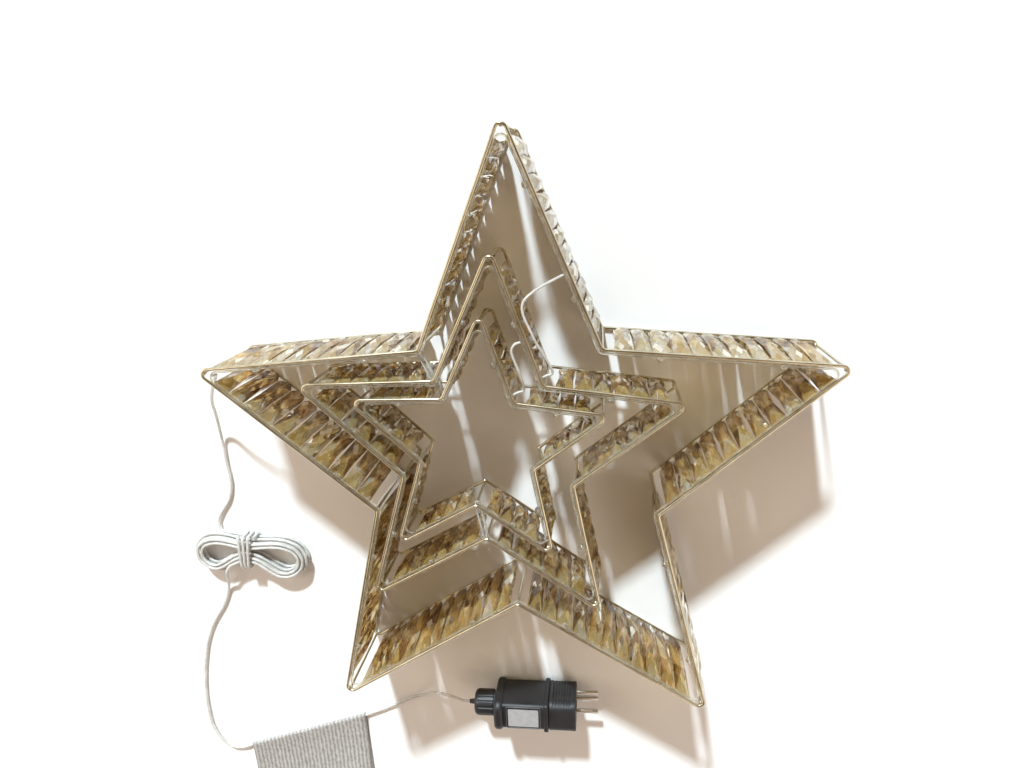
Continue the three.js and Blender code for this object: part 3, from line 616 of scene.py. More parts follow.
def hank_line():
    """The hank's centreline, its ends run straight for one diameter."""
    start, end = -1 / LOOP_STEPS, TURNS + 1 / LOOP_STEPS
    count = round((end - start) * LOOP_STEPS * FINER)
    spots = [hank_point(start + (end - start) * step / count) for step in range(count + 1)]
    for index, turn, ahead in ((0, start, -0.001), (len(spots) + 1, end, 0.001)):
        onward = hank_point(turn + ahead) - hank_point(turn)
        onward.z = 0
        near = spots[0] if index == 0 else spots[-1]
        spots.insert(index, near + onward.normalized() * LEAD)
    return [in_place(spot) for spot in spots]


def beyond(line, distance):
    """A point past the line's first end."""
    return line[0] + (line[0] - line[1]).normalized() * distance * MM


LEFT_TIP = 2
ROUTE_STEP = 0.004
turns = hank_line()
left_bend = bends(STARS["large"]["inner"], CABLE_BEND)[LEFT_TIP]
under_cable = STARS["large"]["front"] - CABLE / 2 - SEAT
lead_start = point(*left_bend[len(left_bend) // 2].xy, under_cable)
drop = Vector((0, 0, 2 * LEAD * MM))
to_hank = [lead_start, lead_start - drop, *[point(*spot) for spot in HANK_ROUTE],
           beyond(turns, 2 * LEAD), beyond(turns, SEAT)]
backwards = turns[::-1]
mouth = point(*MOUTH)
to_driver = [beyond(backwards, SEAT), beyond(backwards, 2 * LEAD),
             *[point(*spot) for spot in (*TAG_ROUTE, TAG_FROM, TAG_TO, *DRIVER_ROUTE)],
             mouth - Vector((2 * LEAD * MM, 0, 0)), mouth]
lead_line = catmull(to_hank, ROUTE_STEP) + turns + catmull(to_driver, ROUTE_STEP)
print("lead", round(length_of(lead_line), 3), "m, hank", round(length_of(turns), 3), "m")


# %% [markdown]
# The tie is a few turns of the same lead round the waist. Its section is squarer than a circle,
# because it lies on a bundle that is wider than it is high.


# %% The lead and its tie
CORD_ROUNDNESS = 3
TIE_TURNS = 3
TIE_STEPS = 40
TIE_PITCH = 3.8
TIE_CLEAR = 0.7
# The power that turns a circle into a rounded box, and where the tie starts in its first turn
SQUARENESS = 0.3
TIE_PHASE = 0.025


def cord_piece(name, line, diameter, replaces):
    """A cable along a line, its diameter in millimetres."""
    form = bmesh.new()
    add_mesh(form, tube_mesh(line, diameter / 2 * MM, resolution=CORD_ROUNDNESS))
    return piece(name, form, clear_cable, replaces=replaces)


def tie_line():
    """The tie's centreline: a helix of a squarer section round the waist."""
    reach = TIE_TURNS * TIE_PITCH
    highest = len(CLIMBS) * LAYER + LEAD
    middle = LEAD_FLOOR + LIFT + highest / 2
    half_width = WAIST + hank_flare(reach / 2) + LEAD + TIE_CLEAR
    half_height = (highest + LEAD) / 2 + TIE_CLEAR

    def square(value):
        return math.copysign(abs(value) ** SQUARENESS, value)

    line = []
    steps = TIE_TURNS * TIE_STEPS
    for step in range(steps + 1):
        angle = 2 * math.pi * (step / TIE_STEPS + TIE_PHASE)
        spot = hank_bend(reach * (step / steps - 0.5), half_width * square(math.cos(angle)), 0)
        spot.z = middle + half_height * square(math.sin(angle))
        line.append(in_place(spot))
    return line


lead = cord_piece("lead", lead_line, LEAD, ("lead_to_hank", "lead_hank", "lead_to_driver"))
hank_tie = cord_piece("hank_tie_turns", tie_line(), LEAD, ("hank_tie",))

# %% [markdown]
# Two short links feed the inner stars. Each leaves one star's light cable in the upper right
# notch and goes under the next star's front rod beside its notch post.

# %% The link cables
# The wall from the upper right notch to the top tip, and how far along it a link leaves
LINK_WALL = 9
LINK_SHARE = 0.34
LINK_STEP = 0.0015
LINKS = {
    "outer_link": ("large", "medium", [(11, 121, 80), (17, 98, 78)], "outer_link_cable"),
    "inner_link": ("medium", "small", [(2, 88, 78), (7, 70, 75)], "inner_link_cable"),
}


def wall_of(star, corner):
    """A wall's direction and the direction into the star."""
    corners = star["corners"]
    along = (corners[(corner + 1) % CORNERS] - corners[corner]).normalized()
    return along, Vector((-along.y, along.x, 0))


def off_wall(star):
    """A link's first two points, square to the light cable that it leaves."""
    _, inward = wall_of(star, LINK_WALL)
    corners = star["corners"]
    spot = corners[LINK_WALL].lerp(corners[0], LINK_SHARE)
    start = CABLE_INSET + CABLE / 2 + SEAT
    return [star["matrix"] @ (spot + inward * reach + Vector((0, 0, star["front"])))
            for reach in (start, start + CABLE_BEND)]


def into_notch(star):
    """A link's last points, under the front rod and up to the light cable."""
    along, inward = wall_of(star, LINK_WALL)
    gap = star["corners"][LINK_WALL] + along * (POST / 2 + NOTCH_CLEAR) / 2
    top = star["front"] - CABLE / 2 - SEAT
    places = ((-2 * CABLE_BEND, 2 * CABLE_BEND), (-CABLE_BEND, 2 * CABLE_BEND),
              (CABLE_INSET, CABLE_BEND), (CABLE_INSET, 0))
    return [star["matrix"] @ (gap + inward * reach + Vector((0, 0, top - low)))
            for reach, low in places]


link_lengths = {}
for name, (outer, inner, route, node) in LINKS.items():
    spots = [*off_wall(STARS[outer]), *[point(*spot) for spot in route], *into_notch(STARS[inner])]
    line = catmull(spots, LINK_STEP)
    made = cord_piece(name, line, CABLE, (node,))
    round(length_of(line), 4)
    link_lengths[name] = round(length_of(line), 4)
print("links:", link_lengths)

# %% [markdown]
# ## The crystal tiles
# One tile is a bar with a hipped roof on both faces and its two rear corners cut. A cube is
# flattened and cut, and each broad face is pushed out and drawn together into a ridge, whose
# doubled points are then merged. Last, the long edges get a point at mid height that is drawn
# back, which breaks each long side into three facets and leaves a kite-shaped gap between
# neighbours. A tile has only a few dozen faces, because there are over two hundred tiles. They
# are hung by hand, so each is turned by a few degrees, and no two have quite the same waist.

# %% One tile
# A tile's length along the wall, its thickness over both ridges and at its edges, and its hips
TILE = 12.9
RIDGE = 9.0
WEB = 1.6
HIP_SHARE = 0.38
# The cut rear corners
CORNER_CUT = 3.2
CUT_RISE = 5.0
# How far the waist's points are drawn back and outwards
WAIST_IN = 1.3
WAIST_OUT = 1.4
# How far the middle of a facet stands out
CROWN = 0.45
# Points this near to an edge lie on it, and points this near to each other are one
NEAR = 0.1
DOUBLE = 0.01
RIDGE_SHARE = 1e-4


def tile_mesh(length, height):
    """One tile, upright, its middle at the origin."""

    def on_side(vert):
        return abs(vert.co.x) > length / 2 - NEAR

    form = bmesh.new()
    bmesh.ops.create_cube(form, size=1)
    bmesh.ops.scale(form, vec=(length, WEB, height), verts=form.verts)
    rear = [e for e in form.edges
            if abs(e.verts[0].co.y - e.verts[1].co.y) > WEB / 2 and e.verts[0].co.z < 0]
    bmesh.ops.bevel(form, geom=rear, offset=CORNER_CUT, segments=1,
                    affect="EDGES", profile=0.5, material=-1)
    raised = [v for v in form.verts if on_side(v) and v.co.z < 0]
    bmesh.ops.translate(form, vec=(0, 0, CUT_RISE), verts=raised)
    for face in [f for f in form.faces if abs(f.normal.y) > 0.9]:
        side = math.copysign(1, face.normal.y)
        face = bmesh.ops.extrude_discrete_faces(form, faces=[face])["faces"][0]
        bmesh.ops.translate(form, vec=(0, side * (RIDGE - WEB) / 2, 0), verts=face.verts)
        bmesh.ops.scale(form, vec=(RIDGE_SHARE, 1, 1 - 2 * HIP_SHARE), verts=face.verts)
        bmesh.ops.delete(form, geom=[face], context="FACES_ONLY")
    bmesh.ops.remove_doubles(form, verts=form.verts, dist=DOUBLE)
    long_edges = [e for e in form.edges
                  if all(on_side(vert) for vert in e.verts)
                  and abs(e.verts[0].co.z - e.verts[1].co.z) > height / 2]
    bmesh.ops.subdivide_edges(form, edges=long_edges, cuts=1)
    for vert in form.verts:
        if on_side(vert) and abs(vert.co.z) < height / 4:
            vert.co.x -= math.copysign(WAIST_IN, vert.co.x)
            vert.co.y += math.copysign(WAIST_OUT, vert.co.y)
    bmesh.ops.recalc_face_normals(form, faces=form.faces)
    broad = [f for f in form.faces if len(f.verts) > 3 and abs(f.normal.y) > 0.3]
    bmesh.ops.poke(form, faces=broad, offset=CROWN)
    mesh = bpy.data.meshes.new("tile")
    form.to_mesh(mesh)
    form.free()
    return mesh


# %% Ten walls of tiles
TILE_GAP = 0.5
TILE_TURN_DEGREES = 4.5
# How far a waist slides, as a share of the height, and how much of its width it keeps
SLIDE = 0.09
WAIST_MOST = 1.2
WAIST_DRAW = 0.42
# Points of the waist lie beyond this share of a tile's length
WAIST_FROM = 0.35
chance = random.Random(24)


def crystal_walls(form, star):
    """The tiles of all ten walls, each with its own coordinates and a number drawn for it."""
    cut = form.verts.layers.float_vector.new("cut")
    corners = star["corners"]
    whole = (corners[1] - corners[0]).length
    length = whole - TIP_CLEAR - NOTCH_CLEAR
    count = round(length / TILE)
    low = ROD + SEAT
    height = star["depth"] - 2 * low
    tile = tile_mesh(length / count - TILE_GAP, height)
    for corner, start in enumerate(corners):
        along, _ = wall_of(star, corner)
        foot = TIP_CLEAR if corner % 2 == 0 else NOTCH_CLEAR
        for index in range(count):
            spot = start + along * (foot + (index + 0.5) * length / count)
            swing = math.radians(chance.uniform(-1, 1) * TILE_TURN_DEGREES)
            turn = Matrix.Rotation(math.atan2(along.y, along.x) + swing, 4, "Z")
            hung = len(form.verts)
            form.from_mesh(tile)
            form.verts.ensure_lookup_table()
            pinches = {side: WAIST_MOST - WAIST_DRAW * chance.random() ** 3 for side in (-1, 1)}
            slide = chance.uniform(-1, 1) * SLIDE * height
            drawn = chance.random()
            for vert in form.verts[hung:]:
                vert[cut] = (vert.co.x * count / length, vert.co.z / height, drawn)
                if (abs(vert.co.x) > WAIST_FROM * length / count
                        and abs(vert.co.z) < height / 4):
                    vert.co.x *= pinches[math.copysign(1, vert.co.x)]
                    vert.co.z += slide
            place = Matrix.Translation((spot.x, spot.y, low + height / 2)) @ turn
            bmesh.ops.transform(form, matrix=place, verts=form.verts[hung:])
    bpy.data.meshes.remove(tile)


# %% [markdown]
# The tone of a facet is drawn by chance: some are nearly clear, most are amber. The front hips
# are painted pale, a painted highlight of the light from above that they turn straight back, and
# the rear ends down by the floor are painted dark, as painted shade.

# %% Hang the tiles
# Facets below or above these shares of the depth are rear ends, painted dark as shade, and front
# hips, painted pale as a highlight
SHADED_REAR_SHARE = 0.20
HIGHLIT_FRONT_SHARE = 0.76
PAINTED_SHADE_TONES = (0.0, 0.12)
PAINTED_HIGHLIGHT_TONES = (0.6, 1.0)
# The others' tones, each up to a limit of a number drawn
TONES = ((0.27, (0.9, 1.0)), (0.66, (0.35, 0.65)), (1.0, (0.0, 0.3)))


def facet_tone(height, depth):
    """A facet's tone, from 0 for dark brown to 1 for clear."""
    # Rear ends get painted shade and front hips a painted highlight, by their height
    if height < SHADED_REAR_SHARE * depth:
        return chance.uniform(*PAINTED_SHADE_TONES)
    if height > HIGHLIT_FRONT_SHARE * depth:
        return chance.uniform(*PAINTED_HIGHLIGHT_TONES)
    drawn = chance.random()
    return chance.uniform(*next(tones for limit, tones in TONES if drawn < limit))


for name, star in STARS.items():
    form = bmesh.new()
    crystal_walls(form, star)
    tone = form.faces.layers.float.new("tone")
    for face in form.faces:
        face[tone] = facet_tone(face.calc_center_median().z, star["depth"])
    bmesh.ops.transform(form, matrix=star["matrix"], verts=form.verts)
    bmesh.ops.recalc_face_normals(form, faces=form.faces)
    nodes = [f"{name}_crystal_strip_{wall}" for wall in range(1, CORNERS + 1)]
    piece(f"{name}_crystals", form, crystal, replaces=nodes, smooth=False)

# %% [markdown]
# ## The gilt frames
# Each star is two bent rods held apart by ten posts. The posts are welded on, so a small bead of
# metal fills the corner between post and rod at both ends.

# %% Rods and posts
# A weld bead's radius and height, and where its middle lies from the post's end
BEAD = 1.65
BEAD_FLATNESS = 0.7
BEAD_INSET = 0.6
BEAD_RISE = 1.4


def rod_ring(form, star, outline, height):
    """Adds a bent rod at a height to a bmesh."""
    spots = [star["matrix"] @ (spot + Vector((0, 0, height))) for spot in outline]
    add_mesh(form, tube_mesh(spots, ROD / 2 * MM, closed=True))


for name, star in STARS.items():
    arcs = bends(star["corners"], BEND)
    outline = [spot for arc in arcs for spot in arc]
    front, rear = bmesh.new(), bmesh.new()
    rod_ring(front, star, outline, star["front"])
    rod_ring(rear, star, outline, ROD / 2)
    for arc in arcs:
        middle = arc[len(arc) // 2]
        ends = [star["matrix"] @ (middle + Vector((0, 0, height)))
                for height in (ROD / 2, star["front"] - ROD / 4)]
        add_mesh(rear, tube_mesh(ends, POST / 2 * MM))
        inwards = -middle.normalized() * BEAD_INSET * MM
        for end, way in zip(ends, (1, -1)):
            bead = bmesh.ops.create_uvsphere(rear, u_segments=14, v_segments=8, radius=BEAD * MM)
            bmesh.ops.scale(rear, vec=(1, 1, BEAD_FLATNESS), verts=bead["verts"])
            place = end + inwards + Vector((0, 0, way * BEAD_RISE * MM))
            bmesh.ops.translate(rear, vec=place, verts=bead["verts"])
    piece(f"{name}_front_rod", front, gilt, replaces=(f"{name}_front_wire",))
    piece(f"{name}_rear_rods", rear, gilt, replaces=(f"{name}_rear_frame",))

# %% [markdown]
# ## The light cables
# A clear cable follows the inside of each front rod. Its bulbs are moulded on as small balls,
# drawn out along the cable and standing into the star.

# %% Cables with bulbs
BULB = 4.4
BULB_STRETCH = 1.15

for name, star in STARS.items():
    form = bmesh.new()
    arcs = bends(star["inner"], CABLE_BEND)
    height = Vector((0, 0, star["front"]))
    line = [star["matrix"] @ (spot + height) for arc in arcs for spot in arc]
    add_mesh(form, tube_mesh(line, CABLE / 2 * MM, closed=True, resolution=CORD_ROUNDNESS))
    for corner in range(CORNERS):
        along, inward = wall_of(star, corner)
        for bulb in range(star["bulbs"]):
            share = (bulb + 0.5) / star["bulbs"]
            start = star["inner"][corner].lerp(star["inner"][(corner + 1) % CORNERS], share)
            spot = start + inward * (BULB - CABLE) / 2 + height
            ball = bmesh.ops.create_uvsphere(form, u_segments=16, v_segments=10, radius=BULB / 2)
            bmesh.ops.scale(form, vec=(BULB_STRETCH, 1, 1), verts=ball["verts"])
            turn = Matrix.Rotation(math.atan2(along.y, along.x), 4, "Z")
            place = star["matrix"] @ Matrix.Translation(spot) @ turn
            bmesh.ops.transform(form, matrix=place, verts=ball["verts"])
    piece(f"{name}_lights", form, clear_light, replaces=(f"{name}_light_string",))

# %% [markdown]
# The ties between the stars are plain clear threads. Their CAD solids have the right shape
# already, so they only get their finish.

# %% The ties
for node in ("upper_left_tie", "upper_left_inner_tie", "left_tie", "bottom_inner_tie"):
    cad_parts[node].data.materials.clear()
    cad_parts[node].data.materials.append(clear_nylon)
    print(node, "keeps its CAD mesh")

# %% [markdown]
# ## The tag
# The tag is one strip of tape folded over the lead: it lies on the floor, goes round the lead
# and comes back on top of itself, sinking from the lead's height, steeply at first. Tape pulls
# askew, so both leaves lean. A flat grid is laid along that path, and its wall comes from
# Solidify.

# %% A folded tape
TAG_WIDTH = 62.0
TAPE = 0.3
# The fold's radius and the height of its middle
FOLD, FOLD_HEIGHT = 1.8, 2.0
# The leaves' middle lines over the floor at the free edge
LOW_LEAF, TOP_LEAF = 0.2, 0.65
# How far the free edges lie askew, the lower leaf's a little less, and how far the upper one lifts
SKEW = 21.0
LAYER_SHIFT = 2.2
EDGE_LIFT = 1.1
# Beyond this reach, whatever lies below the upper leaf is the lower one
UNDER_FROM = 4
LOW_STEPS, FOLD_STEPS, TOP_STEPS, LENGTHWISE = 16, 12, 18, 20
tag_from, tag_to = point(*TAG_FROM), point(*TAG_TO)
tag_along = (tag_to - tag_from).normalized()
tag_out = Vector((tag_along.y, -tag_along.x, 0))


def fold_path():
    """The tape's middle line, across the fold: reach from the fold and height, in millimetres."""
    path = [(TAG_WIDTH - step * TAG_WIDTH / LOW_STEPS, LOW_LEAF) for step in range(LOW_STEPS)]
    for step in range(FOLD_STEPS + 1):
        angle = math.radians(-90 - step * 180 / FOLD_STEPS)
        path.append((FOLD * math.cos(angle), FOLD_HEIGHT + FOLD * math.sin(angle)))
    fall = FOLD_HEIGHT + FOLD - TOP_LEAF
    for step in range(1, TOP_STEPS + 1):
        share = step / TOP_STEPS
        path.append((TAG_WIDTH * share, TOP_LEAF + fall * (1 - share) ** 3))
    return path


path = fold_path()
form = bmesh.new()
bmesh.ops.create_grid(form, x_segments=len(path) - 1, y_segments=LENGTHWISE, size=0.5)
tag_length = (tag_to - tag_from).length
weave = form.verts.layers.float_vector.new("weave")
for vert in form.verts:
    place = round((vert.co.x + 0.5) * (len(path) - 1))
    reach, height = path[place]
    share = vert.co.y + 0.5
    outer = max(0, reach / TAG_WIDTH)
    under = reach > UNDER_FROM and height < TOP_LEAF / 2
    drift = ((LAYER_SHIFT if under else 0) - SKEW) * outer * MM
    vert[weave] = (tag_length * share, place * 2 * TAG_WIDTH * MM / len(path), 0)
    vert.co = tag_from + tag_along * (tag_length * share + drift) + tag_out * reach * MM
    lift = 0 if under else EDGE_LIFT * outer ** 2 * (0.4 + 0.6 * math.cos(math.pi * share) ** 2)
    vert.co.z = (height + lift) * MM
bmesh.ops.recalc_face_normals(form, faces=form.faces)
tag = piece("tag", form, tag_fabric, replaces=("warning_tag",))
wall = tag.modifiers.new("wall", "SOLIDIFY")
wall.thickness = TAPE * MM
wall.offset = 0

# %% [markdown]
# ## The driver
# A black block with a flange, a bead and a screwed joint for the lead, and an adapter with three
# pins. Blocks start as cubes: the four long edges are bevelled round, then the end edges are
# eased.

# %% Blocks and turned pieces
AXIS = point(-29, -243, 22)
# Edges steeper than this stay sharp
SHARP = math.radians(38)


def add_block(form, start, end, width, height, corner, edge):
    """A block along the driver's axis, its long edges rounded and its ends eased."""
    made = bmesh.ops.create_cube(form, size=1)
    bmesh.ops.scale(form, vec=(end - start, width, height), verts=made["verts"])
    bmesh.ops.translate(form, vec=((start + end) / 2, 0, 0), verts=made["verts"])
    points = list(made["verts"])
    for chosen, offset, segments in (("long", corner, 5), ("ends", edge, 3)):
        edges = [e for e in {e for v in points for e in v.link_edges}
                 if (abs(e.verts[0].co.x - e.verts[1].co.x) > 1e-6) == (chosen == "long")]
        made = bmesh.ops.bevel(form, geom=edges, offset=offset, segments=segments,
                               affect="EDGES", profile=0.5, material=-1, clamp_overlap=True)
        points = list({v for v in [*points, *made["verts"]] if v.is_valid})


def add_turned(form, profile, steps):
    """A piece turned about the driver's axis: pairs of place and radius."""
    spots = [form.verts.new((along, 0, radius)) for along, radius in profile]
    edges = [form.edges.new(pair) for pair in zip(spots, spots[1:])]
    bmesh.ops.spin(form, geom=[*spots, *edges], cent=(0, 0, 0), axis=(1, 0, 0),
                   angle=2 * math.pi, steps=steps, use_merge=True)
    bmesh.ops.remove_doubles(form, verts=form.verts, dist=1e-4)


def driver_piece(name, form, material, node, body="star", smooth=True):
    """A piece modelled in millimetres on the driver's axis."""
    bmesh.ops.recalc_face_normals(form, faces=form.faces)
    place = Matrix.Translation(AXIS) @ Matrix.Scale(MM, 4)
    bmesh.ops.transform(form, matrix=place, verts=form.verts)
    made = piece(name, form, material, body, (node,), smooth)
    made.data.set_sharp_from_angle(angle=SHARP)
    return made


# %% [markdown]
# The case is three blocks and the socket's screwed neck. The nut is a turned cap whose rounded
# end leaves a hole for the lead. Its ribs come from drawing points towards the axis, fourteen
# times round. The seal is a plain ring, and the lead's end has a tapered sleeve with small
# rings.

# %% Case, nut, seal and connector
# Radii of the socket's bore and neck, and where the neck ends
BORE, NECK, NECK_END = 4.8, 7, -14
form = bmesh.new()
add_block(form, start=0, end=8, width=28, height=44, corner=8, edge=3.0)
add_block(form, start=7, end=47, width=24.4, height=37, corner=3.5, edge=0.4)
add_block(form, start=43, end=47, width=27.2, height=39.8, corner=2.6, edge=1.2)
add_turned(form, [(1, BORE), (NECK_END, BORE), (NECK_END, NECK), (1, NECK)], steps=48)
driver_piece("driver_case", form, black_plastic, "driver_body")

NUT_FROM, NUT_TO = -2, -18.6
NUT_OUTER, NUT_INNER, NUT_HOLE, NUT_ROUND = 11, 7.6, 3.1, 3.5
NUT_FLOOR = -16.6
RIBS = 14
RIB_DEPTH = 0.06
form = bmesh.new()
rounding = [(NUT_TO + NUT_ROUND * (1 - math.sin(a)), NUT_OUTER - NUT_ROUND * (1 - math.cos(a)))
            for a in [math.pi / 2 * (1 - step / 6) for step in range(7)]]
side = [(-14 + step * 1.5, NUT_OUTER) for step in range(8)]
add_turned(form, [(NUT_FROM, NUT_INNER), (NUT_FLOOR, NUT_INNER), (NUT_FLOOR, NUT_HOLE),
                  (NUT_TO, NUT_HOLE), *rounding, *side, (NUT_FROM, NUT_OUTER),
                  (NUT_FROM, NUT_INNER)], steps=112)
for vert in form.verts:
    radius = math.hypot(vert.co.y, vert.co.z)
    if radius > 9 and -16 < vert.co.x < -1:
        wave = math.cos(RIBS * math.atan2(vert.co.z, vert.co.y))
        vert.co.yz = Vector(vert.co.yz) * (1 - RIB_DEPTH * max(0, wave))
driver_piece("nut", form, black_plastic, "union_nut", body="nut")

SEAL_INNER, SEAL_OUTER = 7.3, 9.7
form = bmesh.new()
add_turned(form, [(-0.3, SEAL_INNER), (-1.7, SEAL_INNER), (-1.7, 9.4), (-1.4, SEAL_OUTER),
                  (-0.6, SEAL_OUTER), (-0.3, 9.4), (-0.3, SEAL_INNER)], steps=60)
driver_piece("seal", form, seal_rubber, "seal_ring", body="seal")

# The sleeve's end, its step, and how it widens, with a ring at every other pair of steps
SLEEVE_FROM, SLEEVE_STEP, SLEEVE_WIDENS, SLEEVE_RING = -23.7, 0.45, 0.055, 0.18
form = bmesh.new()
sleeve = [(SLEEVE_FROM + step * SLEEVE_STEP,
           1.75 + step * SLEEVE_WIDENS + (SLEEVE_RING if step % 4 in (1, 2) else 0))
          for step in range(15)]
add_turned(form, [(SLEEVE_FROM, 0), *sleeve, (-16.3, 2.6), (-16.3, 6.3), (-14.3, 6.3),
                  (-14.3, 4.5), (-2, 4.5), (-2, 0)], steps=40)
connector = driver_piece("connector", form, black_plastic, "lead_connector")

# %% [markdown]
# The adapter has a hollow grip on both sides, and fine ribs that run over its rounded edges.
# Planes cut the block into a net of faces. The points of its sides are pressed in, deepest at
# the middle, and all points within the ribs' reach are rippled towards the axis.

# %% The adapter
ADAPTER_FROM, ADAPTER_LENGTH = 47.3, 23
# Half the grip's width, how deep it is, and how far out the ribs reach
GRIP_HALF = 11.0
GRIP_DEPTH = 2.2
RIBBED = 16.5
# The ribs' start, step, half depth, and the cuts across them
RIBS_FROM = ADAPTER_FROM + 3
RIB_STEP = 2.3
RIB_LOW = 0.3
CUTS = 44
form = bmesh.new()
add_block(form, start=ADAPTER_FROM, end=ADAPTER_FROM + ADAPTER_LENGTH, width=29, height=38,
          corner=7.5, edge=1)
cuts = [((RIBS_FROM + step * RIB_STEP / 6, 0, 0), (1, 0, 0)) for step in range(CUTS)]
cuts += [((0, 0, GRIP_HALF * (step / 8 - 1)), (0, 0, 1)) for step in range(17)]
for place, across in cuts:
    bmesh.ops.bisect_plane(form, geom=[*form.verts, *form.edges, *form.faces],
                           plane_co=place, plane_no=across)
for vert in form.verts:
    along = (vert.co.x - RIBS_FROM) / ((CUTS - 1) * RIB_STEP / 6)
    if abs(vert.co.y) > 9 and abs(vert.co.z) < RIBBED and 0 < along < 1:
        middle = max(0, 1 - (vert.co.z / GRIP_HALF) ** 2)
        bowl = GRIP_DEPTH * middle ** 1.5 * math.sin(math.pi * along) ** 0.35
        vert.co.y -= math.copysign(bowl, vert.co.y)
        low = RIB_LOW * (1 - math.cos(2 * math.pi * (vert.co.x - RIBS_FROM) / RIB_STEP))
        reach = math.hypot(vert.co.y, vert.co.z)
        vert.co.yz = Vector(vert.co.yz) * (1 - low / reach)
driver_piece("adapter", form, black_plastic, "adapter_shell")

# %% [markdown]
# The three pins are turned, with eased ends. They start inside the adapter, so that no gap shows
# round them.

# %% The pins
PIN_RADIUS, PIN_LENGTH, PIN_ROOT = 2, 19, 8
PINS = {"line_pin": (9.5, -6), "neutral_pin": (-9.5, -6), "earth_pin": (0, -11)}
face = ADAPTER_FROM + ADAPTER_LENGTH
pin_profile = [(face - PIN_ROOT, 0), (face - PIN_ROOT, PIN_RADIUS), (face + 18, PIN_RADIUS),
               (face + 18.6, 1.7), (face + PIN_LENGTH, 1.0), (face + PIN_LENGTH, 0)]
for node, (y, z) in PINS.items():
    form = bmesh.new()
    add_turned(form, pin_profile, steps=28)
    bmesh.ops.translate(form, vec=(0, y, z), verts=form.verts)
    driver_piece(node.replace("_pin", "_plug_pin"), form, pin_metal, node)

# %% [markdown]
# The label is a thin bare film with rounded corners. A fine raised line frames it on the case.

# %% The label and its frame line
LABEL_SIZE = (26, 17, 0.2)
LABEL_PLACE = (25.5, 0, 18.9)
form = bmesh.new()
made = bmesh.ops.create_cube(form, size=1)
bmesh.ops.scale(form, vec=LABEL_SIZE, verts=made["verts"])
bmesh.ops.translate(form, vec=LABEL_PLACE, verts=made["verts"])
upright = [e for e in form.edges if abs(e.verts[0].co.z - e.verts[1].co.z) > LABEL_SIZE[2] / 2]
bmesh.ops.bevel(form, geom=upright, offset=0.8, segments=4,
                affect="EDGES", profile=0.5, material=-1)
driver_piece("label", form, label_film, "rating_label", smooth=False)

LINE = 0.5
LINE_HEIGHT = 18.5
LINE_CORNERS = ((11, -10.2), (40, -10.2), (40, 10.2), (11, 10.2))
corners = [Vector((x, y, LINE_HEIGHT)) for x, y in LINE_CORNERS]
line = [AXIS + spot * MM for arc in bends(corners, radius=1.5, steps=4) for spot in arc]
form = bmesh.new()
add_mesh(form, tube_mesh(line, LINE * MM, closed=True, resolution=2))
piece("label_frame", form, painted_highlight_black)

# %% [markdown]
# The lead's length is worked out once its connector is there: it leaves the star at the left
# tip, and the tie and the connector are separate pieces on it. The tag lies on it too.

round(length_of(lead_line), 3)

# %% [markdown]
# ## Floor and light
# The floor is a wide plane, plain and pale, a hair under the object so that the two never share
# a face. It is stage: it isn't part of the object.

# %% Floor
# Half the floor's width, and how far it lies under the object, in metres
FLOOR_HALF = 4
FLOOR_GAP = 0.0002


def floor_finish():
    recipe = Recipe("floor")
    soft = recipe.noise(scale=3)
    colour = recipe.colours(soft, (0.3, (0.87, 0.87, 0.87)), (0.7, (0.90, 0.90, 0.90)))
    recipe.node_out(recipe.node("ShaderNodeBsdfDiffuse", {"Color": colour}))
    return recipe.material


form = bmesh.new()
bmesh.ops.create_grid(form, x_segments=1, y_segments=1, size=FLOOR_HALF)
bmesh.ops.translate(form, vec=(0, 0, -FLOOR_GAP), verts=form.verts)
mesh = bpy.data.meshes.new("floor")
form.to_mesh(mesh)
form.free()
floor = bpy.data.objects.new("floor", mesh)
bpy.context.scene.collection.objects.link(floor)
floor.data.materials.append(floor_finish())
print("floor", 2 * FLOOR_HALF, "m wide")

# %% [markdown]
# The main light stands low beyond the star's top, a little to the left, so the walls throw long
# shadows towards the bottom. Its four degrees soften them. Two broad dim lamps give the facets
# more to reflect.

# %% Lamps
WARM = (1, 0.88, 0.74)
SOFTBOX = 0.9


def lamp(name, kind, towards, colour, power, place=(0, 0, 0), **settings):
    """A lamp that shines in a direction."""
    made = bpy.data.objects.new(name, bpy.data.lights.new(name, kind))
    made.data.energy = power
    made.data.color = colour
    for setting, value in settings.items():
        setattr(made.data, setting, value)
    made.location = place
    made.rotation_euler = Vector(towards).to_track_quat("-Z", "Y").to_euler()
    bpy.context.scene.collection.objects.link(made)
    print("lamp", name, "of power", power)


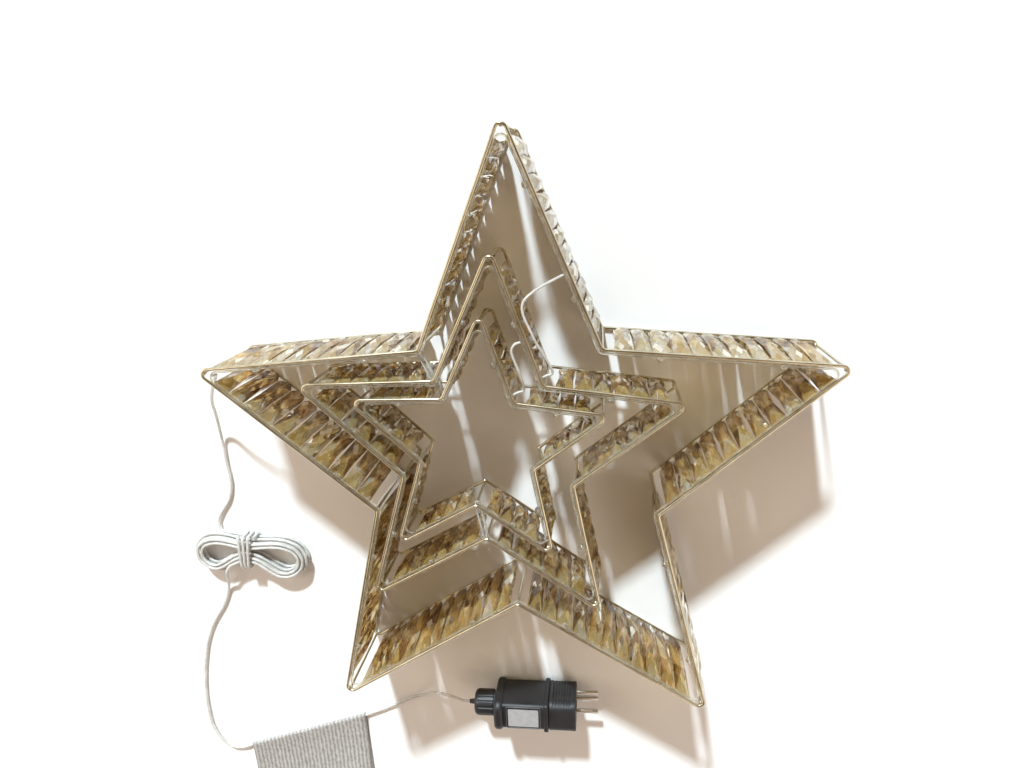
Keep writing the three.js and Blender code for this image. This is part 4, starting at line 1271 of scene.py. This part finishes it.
lamp("key", "SUN", towards=(22.7, -132.9, -80), colour=(0.82, 0.94, 1.0), power=5.35,
     angle=math.radians(4))
lamp("left_softbox", "AREA", towards=(1.0, -0.2, -0.9), colour=WARM, power=5,
     place=(-1.0, 0.2, 0.9), size=SOFTBOX)
lamp("right_softbox", "AREA", towards=(-0.8, 0.6, -1.1), colour=WARM, power=4,
     place=(0.8, -0.6, 1.1), size=SOFTBOX)

# %% [markdown]
# The room fills the shadows and is what crystal and metal mirror. It is brown above, in darker
# and lighter parts, and bright low down, which also gives a white background behind the floor.
# Only the floor between the walls doesn't see the bright part, so only its shade is brown. In
# the world, Object coordinates are the direction in which one looks.

# %% The room
ROOM_STRENGTH = 0.8
PANEL_SCALE = 2.6
PANELS = ((0.50, (0.105, 0.056, 0.028)), (0.58, (0.67, 0.395, 0.205)))
HORIZON = (1.35, 1.30, 1.27)
# The bright part ends between these heights of a direction one long
HORIZON_TO, PANELS_FROM = 0.32, 0.52

world = bpy.data.worlds.new("world")
world.use_nodes = True
room, wires = world.node_tree.nodes, world.node_tree.links
direction = room.new("ShaderNodeTexCoord").outputs["Object"]


def room_ramp(factor, *stops):
    """A colour ramp of two stops on a socket."""
    ramp = room.new("ShaderNodeValToRGB")
    for element, (place, colour) in zip(ramp.color_ramp.elements, stops):
        element.position = place
        element.color = (*colour, 1)
    wires.new(factor, ramp.inputs["Fac"])
    return ramp.outputs["Color"]


noise = room.new("ShaderNodeTexNoise")
noise.inputs["Scale"].default_value = PANEL_SCALE
noise.inputs["Detail"].default_value = 1.0
wires.new(direction, noise.inputs["Vector"])
split = room.new("ShaderNodeSeparateXYZ")
wires.new(direction, split.inputs["Vector"])
low_down = room_ramp(split.outputs["Z"], (HORIZON_TO, (1, 1, 1)), (PANELS_FROM, (0, 0, 0)))
around = room.new("ShaderNodeMix")
around.data_type = "RGBA"
around.inputs["B"].default_value = (*HORIZON, 1)
wires.new(low_down, around.inputs["Factor"])
wires.new(room_ramp(noise.outputs["Fac"], *PANELS), around.inputs["A"])
wires.new(around.outputs["Result"], room["Background"].inputs["Color"])
room["Background"].inputs["Strength"].default_value = ROOM_STRENGTH
bpy.context.scene.world = world
bpy.context.scene.view_settings.view_transform = "Standard"
print("room:", len(room), "nodes")
